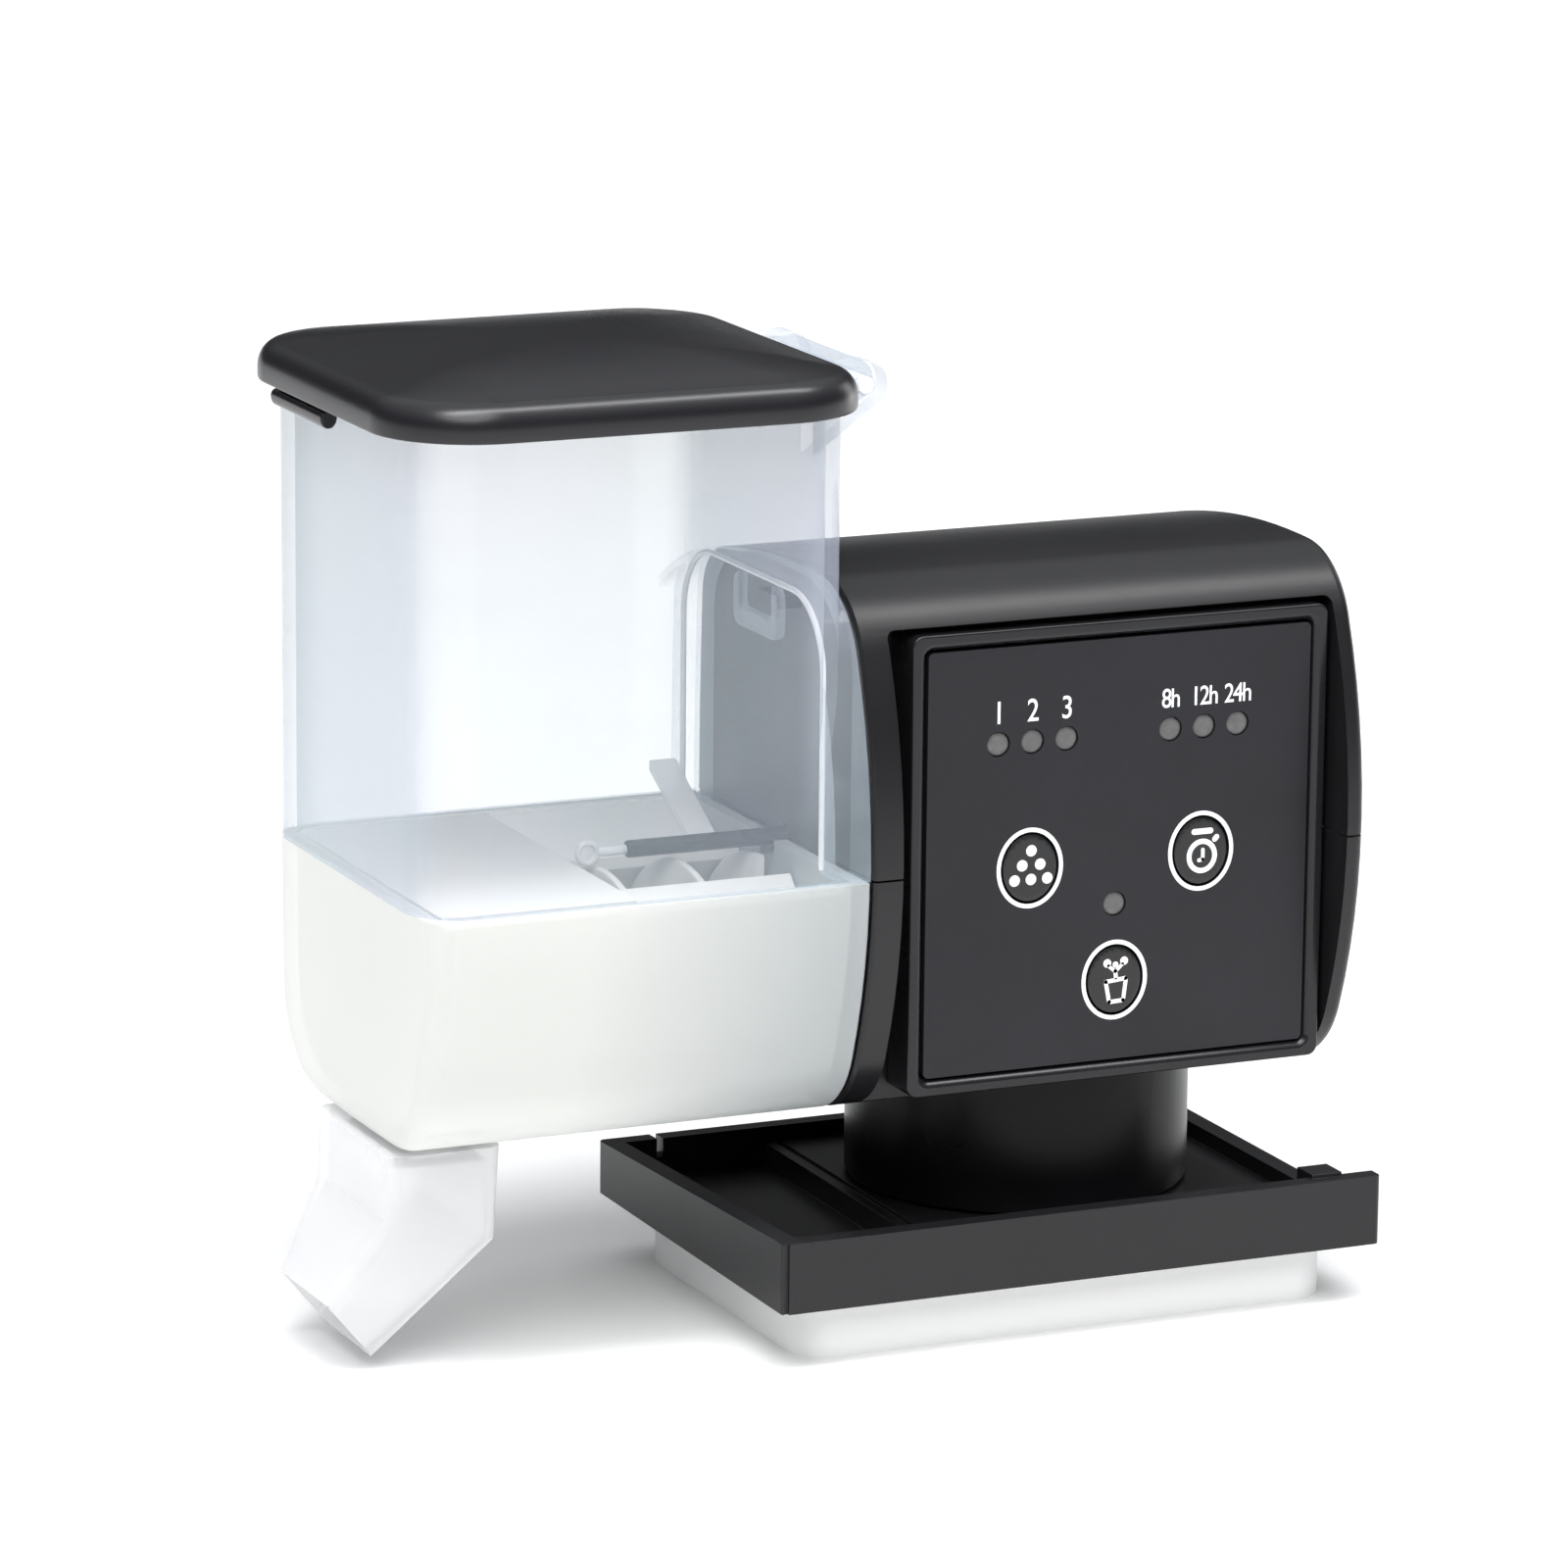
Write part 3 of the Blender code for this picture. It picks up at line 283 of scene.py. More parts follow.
def painted_shade_along_x(made, left, right, at):
    """Painted shade: base colour that changes along X, between two places in metres."""
    links = made.node_tree.links
    where = add(made, "ShaderNodeTexCoord")
    parts = add(made, "ShaderNodeSeparateXYZ")
    links.new(where.outputs["Object"], parts.inputs["Vector"])
    node = add(made, "ShaderNodeMix", data_type="RGBA")
    node.inputs["A"].default_value = (*left, 1.0)
    node.inputs["B"].default_value = (*right, 1.0)
    links.new(ramp(made, parts.outputs["X"], 0.0, 1.0, at), node.inputs["Factor"])
    links.new(node.outputs["Result"], made.node_tree.nodes["Principled BSDF"].inputs["Base Color"])
    return made


def see_through(made, facing, edge):
    """Alpha that is low where the surface is seen squarely and high where it is seen edge-on."""
    weight = add(made, "ShaderNodeLayerWeight")
    weight.inputs["Blend"].default_value = 0.5
    links = made.node_tree.links
    alpha = ramp(made, weight.outputs["Facing"], facing, edge, (0.05, 0.95))
    links.new(alpha, made.node_tree.nodes["Principled BSDF"].inputs["Alpha"])
    return made


def moulded(name, colour, roughness, shades, patches, texture, bump, gloss,
            specular=0.5, stretch=(1.0, 1.0, 1.0)):
    """Plastic with patches of two shades, a fine texture and a drifting gloss."""
    made = plain(name, colour, roughness, specular=specular)
    mottle(made, *shades, patches, stretch)
    return grain(made, texture, bump, *gloss)


def metal(name, colour, roughness, texture, gloss, broad):
    return grain(plain(name, colour, roughness, metallic=1.0), texture, 0.1, *gloss, broad)


def black_looks():
    return {
        "black": moulded("black_abs", (0.010, 0.010, 0.011), 0.33, specular=0.36,
                         shades=((0.009, 0.009, 0.010), (0.011, 0.011, 0.0125)), patches=35.0,
                         texture=420.0, bump=0.16, gloss=(0.31, 0.36)),
        # Painted shade: a darker copy of the black ABS, for the pedestal standing in shade under
        # the housing.
        "shaded_black": moulded("shaded_abs", (0.004, 0.004, 0.004), 0.3, specular=0.14,
                              shades=((0.003, 0.003, 0.003), (0.005, 0.005, 0.006)), patches=35.0,
                              texture=420.0, bump=0.12, gloss=(0.26, 0.34)),
        "gloss_black": moulded("black_gloss_abs", (0.01, 0.01, 0.011), 0.24, specular=0.36,
                               shades=((0.008, 0.008, 0.009), (0.012, 0.012, 0.014)), patches=30.0,
                               texture=300.0, bump=0.06, gloss=(0.22, 0.30)),
        "lid": moulded("lid_abs", (0.011, 0.011, 0.013), 0.28, specular=0.46,
                       shades=((0.010, 0.010, 0.012), (0.012, 0.012, 0.0145)), patches=25.0,
                       texture=380.0, bump=0.10, gloss=(0.265, 0.305)),
        "plate": moulded("charcoal_plate", (0.013, 0.013, 0.017), 0.4, specular=0.3,
                         shades=((0.012, 0.012, 0.015), (0.015, 0.015, 0.019)), patches=60.0,
                         texture=500.0, bump=0.22, gloss=(0.38, 0.48)),
        "key": grain(plain("key_membrane", (0.007, 0.007, 0.008), 0.32), 350.0, 0.08, 0.3, 0.38),
        "chip": grain(plain("chip_epoxy", (0.02, 0.02, 0.02), 0.55), 600.0, 0.2, 0.5, 0.62),
    }


def see_through_looks():
    """The clear, pale and milky plastics, each with the alpha of its face and its edge."""
    clear = mottle(plain("clear_plastic", (0.48, 0.55, 0.61), 0.07),
                   (0.45, 0.56, 0.59), (0.50, 0.53, 0.64), 18.0)
    # Pale plastic of the stirrer's eye and the hinge pin; on the arch bead and the guide rib its
    # whiteness paints highlights.
    pale_and_highlight = mottle(plain("pale_plastic_and_painted_highlight", (0.95, 0.96, 0.97), 0.2),
                   (0.93, 0.94, 0.95), (0.98, 0.98, 0.99), 40.0)
    # Painted light: the bed is a lighter copy of the milky plastic, brightened against the lid's
    # shadow on it.
    bed = moulded("milky_bed_painted_light", (0.94, 0.94, 0.93), 0.32,
                  shades=((0.93, 0.93, 0.92), (0.97, 0.97, 0.96)), patches=22.0,
                  stretch=(1.0, 1.0, 2.0), texture=260.0, bump=0.08, gloss=(0.28, 0.38))
    # Painted shade: the milky trough turns darker grey towards its right end, where the dark
    # housing stands behind it.
    milky = painted_shade_along_x(plain("milky_trough", (0.84, 0.85, 0.82), 0.32),
                 (0.84, 0.85, 0.82), (0.54, 0.57, 0.58), (-0.075, -0.034))
    grain(milky, 260.0, 0.08, 0.28, 0.38)
    chute = moulded("milky_chute", (0.92, 0.92, 0.93), 0.3,
                    shades=((0.90, 0.90, 0.92), (0.95, 0.95, 0.96)), patches=30.0,
                    stretch=(1.0, 1.0, 3.0), texture=260.0, bump=0.08, gloss=(0.26, 0.36))
    return {
        "clear": see_through(clear, 0.13, 0.56),
        "pale_and_highlight": see_through(pale_and_highlight, 0.55, 0.9),
        "bed": see_through(bed, 0.75, 0.97),
        "milky": see_through(milky, 0.56, 0.9),
        "chute": see_through(chute, 0.34, 0.80),
    }


def other_looks():
    return {
        "print": mottle(plain("white_print", (0.88, 0.88, 0.9), 0.5),
                        (0.86, 0.86, 0.88), (0.93, 0.93, 0.94), 300.0),
        "lens": mottle(plain("lamp_diffuser", (0.10, 0.10, 0.10), 0.4),
                       (0.085, 0.085, 0.085), (0.12, 0.12, 0.12), 900.0),
        "white": moulded("white_acetal", (0.90, 0.90, 0.88), 0.4,
                         shades=((0.88, 0.88, 0.86), (0.93, 0.93, 0.91)), patches=90.0,
                         texture=300.0, bump=0.1, gloss=(0.35, 0.45)),
        "board": moulded("solder_resist", (0.02, 0.15, 0.06), 0.4,
                         shades=((0.015, 0.12, 0.05), (0.03, 0.18, 0.08)), patches=400.0,
                         texture=300.0, bump=0.1, gloss=(0.35, 0.5)),
        "cell": moulded("cell_sleeve", (0.08, 0.25, 0.12), 0.35,
                        shades=((0.07, 0.23, 0.11), (0.10, 0.28, 0.14)), patches=60.0,
                        texture=200.0, bump=0.05, gloss=(0.3, 0.4)),
        "steel": metal("plated_steel", (0.58, 0.58, 0.6), 0.3, 500.0, (0.22, 0.36), 300.0),
        "motor": metal("motor_can", (0.56, 0.56, 0.57), 0.35, 400.0, (0.28, 0.42), 200.0),
        "brass": metal("brass", (0.72, 0.52, 0.22), 0.3, 400.0, (0.22, 0.38), 300.0),
    }


# ---- basic shapes ----
WELD = 0.000002                # metres
FLAT_ANGLE = radians(0.4)


def finish_mesh(name, bm):
    bmesh.ops.remove_doubles(bm, verts=bm.verts, dist=0.0001)
    bmesh.ops.recalc_face_normals(bm, faces=bm.faces)
    bmesh.ops.scale(bm, vec=(MM, MM, MM), verts=bm.verts)
    mesh = bpy.data.meshes.new(name)
    bm.to_mesh(mesh)
    bm.free()
    thing = bpy.data.objects.new(name, mesh)
    bpy.context.scene.collection.objects.link(thing)
    return thing


def prism(name, outline, axis, low, high):
    """Extrude an outline along an axis; its pairs are the other two, in the order X, Y, Z."""
    def place(pair, along):
        if axis == "X":
            return (along, pair[0], pair[1])
        if axis == "Y":
            return (pair[0], along, pair[1])
        return (pair[0], pair[1], along)

    bm = bmesh.new()
    bottom = [bm.verts.new(place(pair, low)) for pair in outline]
    top = [bm.verts.new(place(pair, high)) for pair in outline]
    bm.faces.new(bottom)
    bm.faces.new(list(reversed(top)))
    for i in range(len(outline)):
        j = (i + 1) % len(outline)
        bm.faces.new((bottom[j], bottom[i], top[i], top[j]))
    return finish_mesh(name, bm)


def block(name, x, y, z):
    return prism(name, [(x[0], y[0]), (x[1], y[0]), (x[1], y[1]), (x[0], y[1])], "Z", z[0], z[1])


def oval(centre, half, sides=64):
    turns = [TURN * i / sides for i in range(sides)]
    return [(centre[0] + half[0] * cos(turn), centre[1] + half[1] * sin(turn)) for turn in turns]


def middle_of(first, second):
    """Centre and half size of a rectangle, from its two (low, high) pairs."""
    centre = (0.5 * (first[0] + first[1]), 0.5 * (second[0] + second[1]))
    half = (0.5 * (first[1] - first[0]), 0.5 * (second[1] - second[0]))
    return centre, half


def disc(name, axis, centre, radius, low, high, sides=64):
    return prism(name, oval(centre, (radius, radius), sides), axis, low, high)


def rounded_rectangle(x, y, radius, steps=16):
    points = []
    for corner_x, corner_y, start in ((x[1] - radius, y[1] - radius, 0.0),
                                      (x[0] + radius, y[1] - radius, 0.5 * pi),
                                      (x[0] + radius, y[0] + radius, pi),
                                      (x[1] - radius, y[0] + radius, 1.5 * pi)):
        for i in range(steps + 1):
            angle = start + 0.5 * pi * i / steps
            points.append((corner_x + radius * cos(angle), corner_y + radius * sin(angle)))
    return points


def loft(name, rings, closed=True):
    """Skin a list of rings that all hold the same number of points."""
    bm = bmesh.new()
    placed = [[bm.verts.new(point) for point in ring] for ring in rings]
    for lower, upper in zip(placed, placed[1:]):
        for i in range(len(lower)):
            j = (i + 1) % len(lower)
            bm.faces.new((lower[i], lower[j], upper[j], upper[i]))
    if closed:
        bm.faces.new(list(reversed(placed[0])))
        bm.faces.new(placed[-1])
    return finish_mesh(name, bm)


def tube(name, points, radius, normal, sides=12, ring=False):
    """Round rod along a flat path, or round loop; normal is square to the path's plane."""
    rings = []
    count = len(points)
    for i, point in enumerate(points):
        before = points[i - 1] if i or ring else point
        after = points[(i + 1) % count] if i + 1 < count or ring else point
        sideways = (Vector(after) - Vector(before)).normalized().cross(Vector(normal))
        rings.append([tuple(Vector(point) + Vector(normal) * across + sideways * along)
                      for across, along in oval((0.0, 0.0), (radius, radius), sides)])
    if ring:
        return loft(name, rings + [rings[0]], closed=False)
    return loft(name, rings)


def combine(thing, tools, operation):
    for tool in tools:
        step = thing.modifiers.new("combine", "BOOLEAN")
        step.operation = operation
        step.solver = "EXACT"
        step.object = tool
        apply_modifiers(thing)
        bpy.data.objects.remove(tool, do_unlink=True)
    return thing


def apply_modifiers(thing):
    bpy.context.view_layer.update()
    graph = bpy.context.evaluated_depsgraph_get()
    made = bpy.data.meshes.new_from_object(thing.evaluated_get(graph))
    thing.modifiers.clear()
    made.name = thing.data.name
    thing.data = made


def cut(thing, *tools):
    return combine(thing, tools, "DIFFERENCE")


def join(thing, *tools):
    return combine(thing, tools, "UNION")


def soften(thing, width, segments=3, angle=32):
    """Merge flat facets, round the edges sharper than the angle and shade smoothly."""
    bm = bmesh.new()
    bm.from_mesh(thing.data)
    bmesh.ops.remove_doubles(bm, verts=bm.verts, dist=WELD)
    bmesh.ops.dissolve_limit(bm, angle_limit=FLAT_ANGLE, verts=bm.verts, edges=bm.edges)
    bm.to_mesh(thing.data)
    bm.free()
    if width:
        step = thing.modifiers.new("rounded_edges", "BEVEL")
        step.width = width * MM
        step.segments = segments
        step.limit_method = "ANGLE"
        step.angle_limit = radians(angle)
        step.use_clamp_overlap = True
        apply_modifiers(thing)
    thing.data.shade_smooth()
    step = thing.modifiers.new("even_shading", "WEIGHTED_NORMAL")
    step.keep_sharp = True
    step.weight = 80
    thing.data.set_sharp_from_angle(angle=radians(angle))
    return thing


def settle(piece, body, slot, look, *nodes):
    """Give a piece its material and body, and hide the CAD nodes it stands for; a piece in the
    clear_plastic slot casts no shadow.
    """
    piece.data.materials.clear()
    piece.data.materials.append(look)
    if slot == "clear_plastic":
        piece.visible_shadow = False
    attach(piece, body)
    if nodes:
        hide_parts(*nodes)


# ---- the housing's end outline ----
def fillet_centre(side_a, side_b, radius, sign_y, sign_z):
    """Centre of the circle that touches two larger circles from inside, in the named quarter."""
    ay, az, ar = side_a
    by, bz, br = side_b
    ra = ar - radius
    rb = br - radius
    reach = hypot(by - ay, bz - az)
    along = (ra * ra - rb * rb + reach * reach) / (2 * reach)
    height = sqrt(max(ra * ra - along * along, 0.0))
    uy = (by - ay) / reach
    uz = (bz - az) / reach
    base = (ay + along * uy, az + along * uz)
    options = [(base[0] - height * uz, base[1] + height * uy),
               (base[0] + height * uz, base[1] - height * uy)]
    return max(options, key=lambda p: p[0] * sign_y + (p[1] - MIDDLE_Z) * sign_z)


def body_outline(inset=0.0, corner_steps=14, side_steps=12):
    """The housing's (Y, Z) outline, moved inward by inset."""
    arcs = []
    for side_a, side_b, radius, sign_y, sign_z in CORNERS:
        centre = fillet_centre(side_a, side_b, radius, sign_y, sign_z)
        ends = []
        for side in (side_b, side_a):
            dy = centre[0] - side[0]
            dz = centre[1] - side[1]
            ends.append((dy / hypot(dy, dz), dz / hypot(dy, dz)))
        arcs.append((centre, max(radius - inset, 0.6), ends))
    points = []
    for index, (centre, radius, ends) in enumerate(arcs):
        start = Vector(ends[0])
        turn = start.angle_signed(Vector(ends[1]))
        for i in range(corner_steps + 1):
            ray = start.copy()
            ray.rotate(Matrix.Rotation(-turn * i / corner_steps, 2))
            points.append((centre[0] + radius * ray[0], centre[1] + radius * ray[1]))
        side_y, side_z, side_radius = CORNERS[index][0]
        reach = side_radius - inset
        first = Vector(ends[1])
        bend = first.angle_signed(Vector(arcs[(index + 1) % 4][2][0]))
        for i in range(1, side_steps):
            ray = first.copy()
            ray.rotate(Matrix.Rotation(-bend * i / side_steps, 2))
            points.append((side_y + reach * ray[0], side_z + reach * ray[1]))
    return points


def body_prism(name, inset, x):
    return prism(name, body_outline(inset), "X", x[0], x[1])


def body_loft(name, steps):
    """Loft of the housing's outline through (X, inset) pairs."""
    return loft(name, [[(x, y, z) for y, z in body_outline(inset)] for x, inset in steps])


def quarter(radius, count=6):
    """(distance from the end, inset) pairs of a rounded end."""
    pairs = []
    for i in range(count + 1):
        angle = 0.5 * pi * i / count
        pairs.append((radius * (1 - sin(angle)), radius * (1 - cos(angle))))
    return pairs


def half_space(above, height):
    """Block that cuts away everything above the height, or everything below it."""
    reach = (-2 * FAR, 2 * FAR)
    z = (height, height + 2 * FAR) if above else (height - 2 * FAR, height)
    return block("half_space", reach, reach, z)


# ---- base ----
def make_tray(looks):
    x, y, z = TRAY
    wall = 3.0
    inner_y = (y[0] + wall, y[1] - wall)
    plinth = (-21.5, 34.5)                  # raised strip under the pedestal
    high = 30.0                             # above the tray, for cutting
    front_top, back_top, right_top = 10.2, 7.9, 4.4
    pocket_floor, plinth_top = 2.0, 5.5
    tray = prism("tray_shell", rounded_rectangle(x, y, 0.9, 5), "Z", z[0], front_top)
    slope = [(inner_y[0], front_top), (y[1] + 1, back_top), (y[1] + 1, high), (inner_y[0], high)]
    cut(tray,
        prism("slope", slope, "X", x[0] - 1, x[1] + 1),
        block("left_pocket", (x[0] + wall, plinth[0]), inner_y, (pocket_floor, high)),
        block("right_pocket", (plinth[1], x[1] - wall), inner_y, (pocket_floor, high)),
        block("over_plinth", (plinth[0] - 1, plinth[1] + 1), inner_y, (plinth_top, high)),
        block("low_right_wall", (x[1] - wall - 1, x[1] + 1), inner_y, (right_top, high)),
        block("back_notch", (-38.9, -37.9), (inner_y[1] - 1, y[1] + 1), (5.2, high)),
        block("corner_seam", (x[0] + 0.35, x[0] + 0.95), (y[0] - 1.0, y[0] + 0.5), (-1.0, high)),
        block("plinth_groove", (plinth[0] + 1.6, plinth[0] + 2.6), inner_y, (4.9, high)),
        disc("pivot_hole", "Z", PIVOT, 5.3, -1.0, high),
        disc("pivot_counterbore", "Z", PIVOT, 7.0, -1.0, 3.0))
    join(tray, block("corner_lug", (36.8, 41.6), (inner_y[0] - 1.0, -26.8), (1.0, z[1])))
    soften(tray, 0.55)
    settle(tray, "base", "black_shell", looks["black"], "tray")


def make_pedestal(looks):
    low, high = span("pedestal")[2][0], 40.0
    rim = low + 2.8
    radius, wall = 25.0, 2.4
    floor_top = 8.6
    levels = [(radius - 0.7, rim), (radius - 0.2, rim + 0.2), (radius, rim + 0.8), (radius, high)]
    pedestal = loft("pedestal_tube", [[(px, py, z) for px, py in oval(PIVOT, (r, r), 96)]
                                      for r, z in levels])
    cut(pedestal,
        body_prism("housing_bed", -GAP, (-FAR, FAR)),
        disc("pedestal_bore", "Z", PIVOT, radius - wall, floor_top, 60.0))
    join(pedestal,
         disc("swivel_boss", "Z", PIVOT, 5.0, low, 8.8),
         disc("screw_post", "Z", PIVOT, 4.0, 8.0, 15.0))
    cut(pedestal, disc("screw_hole", "Z", PIVOT, 1.8, 2.0, 14.0, 24))
    soften(pedestal, 0.25, 2, 40)
    settle(pedestal, "head", "black_shell", looks["shaded_black"], "pedestal")


# ---- housing ----
def housing_blank(name, above):
    """The hollow housing above or below the seam, with the recess for the panel."""
    left, right = HOUSING_X
    steps = [(left, 0.5), (left + 0.5, 0.0)]
    steps += [(right - away, inset) for away, inset in quarter(1.6)]
    shell = body_loft(name, steps)
    hollow = body_prism("hollow", SHELL_WALL, (left + SHELL_WALL, right - SHELL_WALL))
    cut(hollow, block("front_wall", (-FAR, FAR), (-FAR, RECESS_FLOOR + 1.7), (0.0, 120.0)))
    mouth = rounded_rectangle(RECESS_X, (-5.0, RECESS_TOP), 1.2, 5)
    recess = prism("recess", mouth, "Y", -60.0, RECESS_FLOOR)
    split = SPLIT_Z + GAP if above else SPLIT_Z
    return cut(shell, half_space(not above, split), hollow, recess)


def make_shells(looks):
    wall = (HOUSING_X[0] - 1.0, HOUSING_X[0] + SHELL_WALL + 1.0)
    lower = housing_blank("lower_housing", False)
    door_x, _, door_z = span("battery_cover")
    cut(lower,
        disc("bush_hole", "X", AXIS, 5.3, wall[0], wall[1]),
        disc("bar_hole", "X", BAR_CENTRE, BAR_HOLE, wall[0], wall[1], 24),
        block("door_opening", (door_x[0] - GAP, door_x[1] + GAP), (20.0, 60.0),
              (door_z[0] - GAP, door_z[1] + GAP)))
    for index in range(4):
        x, y, z = span(f"case_screw_{index + 1}")
        place = middle_of(x, y)[0]
        join(lower, disc("post", "Z", place, 2.8, HOUSING_Z[0] + 1.2, SPLIT_Z - 0.6, 32))
        cut(lower,
            disc("pilot", "Z", place, SCREW_PILOT, HOUSING_Z[0] - 2.0, 80.0, 24),
            disc("head_hole", "Z", place, 2.9, HOUSING_Z[0] - 12.0, z[0] + 1.6, 32))
    for index in range(2):
        x, y, _ = span(f"pedestal_screw_{index + 1}")
        cut(lower, disc("pilot", "Z", middle_of(x, y)[0], SCREW_PILOT, 10.0, 30.0, 24))
    soften(lower, 0.3, 2, 40)
    settle(lower, "head", "black_shell", looks["black"], "lower_shell")

    upper = housing_blank("upper_housing", True)
    cut(upper, disc("bar_hole", "X", BAR_CENTRE, BAR_HOLE, wall[0], wall[1], 24))
    nib_x = (UPPER[0][0], HOUSING_X[0] + 0.6)
    join(upper, block("latch_nib", nib_x, (-5.0, 2.0), (94.0, 95.8)))
    cut(upper, *dimples())
    soften(upper, 0.3, 2, 40)
    settle(upper, "head", "black_shell", looks["black"], "upper_shell")


def dimples():
    """Tools for the grid of shallow dots in the housing's top, near the hopper."""
    first_x, first_y = -30.2, 4.0
    pitch_x, pitch_y = 1.5, 1.9
    radius, depth = 0.42, 0.25
    dots = []
    for row in range(5):
        for column in range(6):
            x = first_x + pitch_x * row
            y = first_y + pitch_y * column
            top = SIDE_TOP[1] + sqrt(SIDE_TOP[2] ** 2 - (y - SIDE_TOP[0]) ** 2)
            dots.append(disc("dimple", "Z", (x, y), radius, top - depth, top + 2.0, 12))
    return dots


def make_door(looks):
    x, y, z = span("battery_cover")
    cover = body_prism("battery_door", 0.0, x)
    cut(cover, body_prism("door_inside", SHELL_WALL - 0.3, (-FAR, FAR)))
    limit = prism("door_limit", rounded_rectangle(x, z, 1.0, 5), "Y", 10.0, 50.0)
    combine(cover, [limit], "INTERSECT")
    for index in range(3):
        left = 30.0 + 1.8 * index
        ridge = rounded_rectangle((left, left + 0.9), (42.0, 52.0), 0.44, 5)
        join(cover, prism("ridge", ridge, "Y", BACK_Y - 0.9, y[1]))
    soften(cover, 0.25, 2, 40)
    settle(cover, "battery_door", "black_shell", looks["black"], "battery_cover")


# ---- control panel ----
KEYS = ("amount", "timer", "feed")
LAMP_SIDES = ("left", "right", "centre")
PRINT_Y = PLATE[1][0] - 0.03
PRINT_THICK = 0.06
PLATE_CUT = (-30.0, -20.0)     # along Y, through the plate


def make_panel(looks):
    x, y, z = PANEL
    border, lip = 2.3, 0.75
    surround = prism("panel_surround", rounded_rectangle(x, z, 1.6, 8), "Y", y[0], y[1])
    mouth = []
    for grow, along in ((0.0, y[1] - 1.2), (0.0, y[0] + 0.9), (lip, y[0]), (lip, y[0] - 1.0)):
        inset = border - grow
        outline = rounded_rectangle((x[0] + inset, x[1] - inset), (z[0] + inset, z[1] - inset),
                                    1.0 + grow, 8)
        mouth.append([(px, along, pz) for px, pz in outline])
    cut(surround, loft("mouth", mouth))
    soften(surround, 0.35)
    settle(surround, "head", "black_shell", looks["gloss_black"], "panel_frame")

    x, y, z = PLATE
    plate = prism("printed_plate", rounded_rectangle(x, z, 0.8, 6), "Y", y[0], y[1])
    holes = []
    for key in KEYS:
        key_x, _, key_z = span(f"key_{key}")
        centre, half = middle_of(key_x, key_z)
        room = oval(centre, (half[0] + GAP, half[1] + GAP), 96)
        holes.append(prism("key_room", room, "Y", *PLATE_CUT))
    for side in LAMP_SIDES:
        holes += [disc("lamp_room", "Y", place, 1.8, *PLATE_CUT, 48) for place in lamp_row(side)]
    cut(plate, *holes)
    soften(plate, 0.12, 2, 40)
    settle(plate, "head", "panel_plate", looks["plate"], "panel_overlay")


def lamp_row(side):
    """(X, Z) of the lamp windows on one light guide: three in a row, or one alone."""
    x, _, z = span(f"light_guide_{side}")
    centre, half = middle_of(x, z)
    pitch = half[0] - 2.3
    steps = (-1, 0, 1) if pitch > 1.0 else (0,)
    return [(centre[0] + step * pitch, centre[1]) for step in steps]


def make_lamps(looks):
    for side in LAMP_SIDES:
        x, y, z = span(f"light_guide_{side}")
        outline = rounded_rectangle(x, z, 0.8, 5)
        guide = prism(f"diffuser_{side}", outline, "Y", y[1] - 0.8, y[1])
        levels = ((1.7, y[1] - 0.4), (1.7, y[0] + 0.25), (1.5, y[0] + 0.08), (1.1, y[0]))
        for place in lamp_row(side):
            join(guide, loft("lens", [[(px, along, pz) for px, pz in oval(place, (r, r), 48)]
                                      for r, along in levels]))
        soften(guide, 0.0)
        settle(guide, "head", "lamp_lens", looks["lens"], f"light_guide_{side}")


def make_keys(looks):
    line = 0.62                    # width of the printed ring
    for key in KEYS:
        x, y, z = span(f"key_{key}")
        centre, half = middle_of(x, z)
        front = y[0]
        levels = ((1.0, y[1] - 0.3), (1.0, front + 0.35), (0.985, front + 0.15),
                  (0.93, front + 0.02), (0.80, front))
        rings = []
        for share, along in levels:
            outline = oval(centre, (half[0] * share, half[1] * share), 96)
            rings.append([(px, along, pz) for px, pz in outline])
        cap = loft(f"{key}_cap", rings)
        join(cap, disc("plunger", "Y", centre, 1.6, y[1] - 0.8, y[1], 32))
        soften(cap, 0.0)
        settle(cap, f"{key}_key", "key_face", looks["key"], f"key_{key}")
        ring_half = (half[0] + GAP + 0.05, half[1] + GAP + 0.05)
        ring = band(f"{key}_ring", centre, ring_half, line, PRINT_Y)
        settle(ring, "head", "key_face", looks["print"])
        icon = ICONS[key](centre, front - 0.03)
        settle(icon, f"{key}_key", "key_face", looks["print"])


def band(name, centre, inner_half, width, front):
    """Printed oval line."""
    outer = oval(centre, (inner_half[0] + width, inner_half[1] + width), 96)
    inner = oval(centre, inner_half, 96)
    back = front + PRINT_THICK
    rings = [[(px, along, pz) for px, pz in ring] for ring, along in
             ((outer, back), (outer, front), (inner, front), (inner, back), (outer, back))]
    return loft(name, rings, closed=False)


def merge(name, things):
    """One object from several thin printed shapes."""
    bm = bmesh.new()
    for thing in things:
        bm.from_mesh(thing.data)
        bpy.data.objects.remove(thing, do_unlink=True)
    mesh = bpy.data.meshes.new(name)
    bm.to_mesh(mesh)
    bm.free()
    made = bpy.data.objects.new(name, mesh)
    bpy.context.scene.collection.objects.link(made)
    return made


def stroke(points, width, front):
    """Printed line along points, as flat round-ended segments."""
    parts = []
    for (ax, az), (bx, bz) in zip(points, points[1:]):
        angle = atan2(bz - az, bx - ax)
        turns = [angle + 0.5 * pi + pi * i / 8 for i in range(9)]
        outline = [(ax + 0.5 * width * cos(t), az + 0.5 * width * sin(t)) for t in turns]
        outline += [(bx - 0.5 * width * cos(t), bz - 0.5 * width * sin(t)) for t in turns]
        parts.append(prism("stroke", outline, "Y", front, front + PRINT_THICK))
    return parts


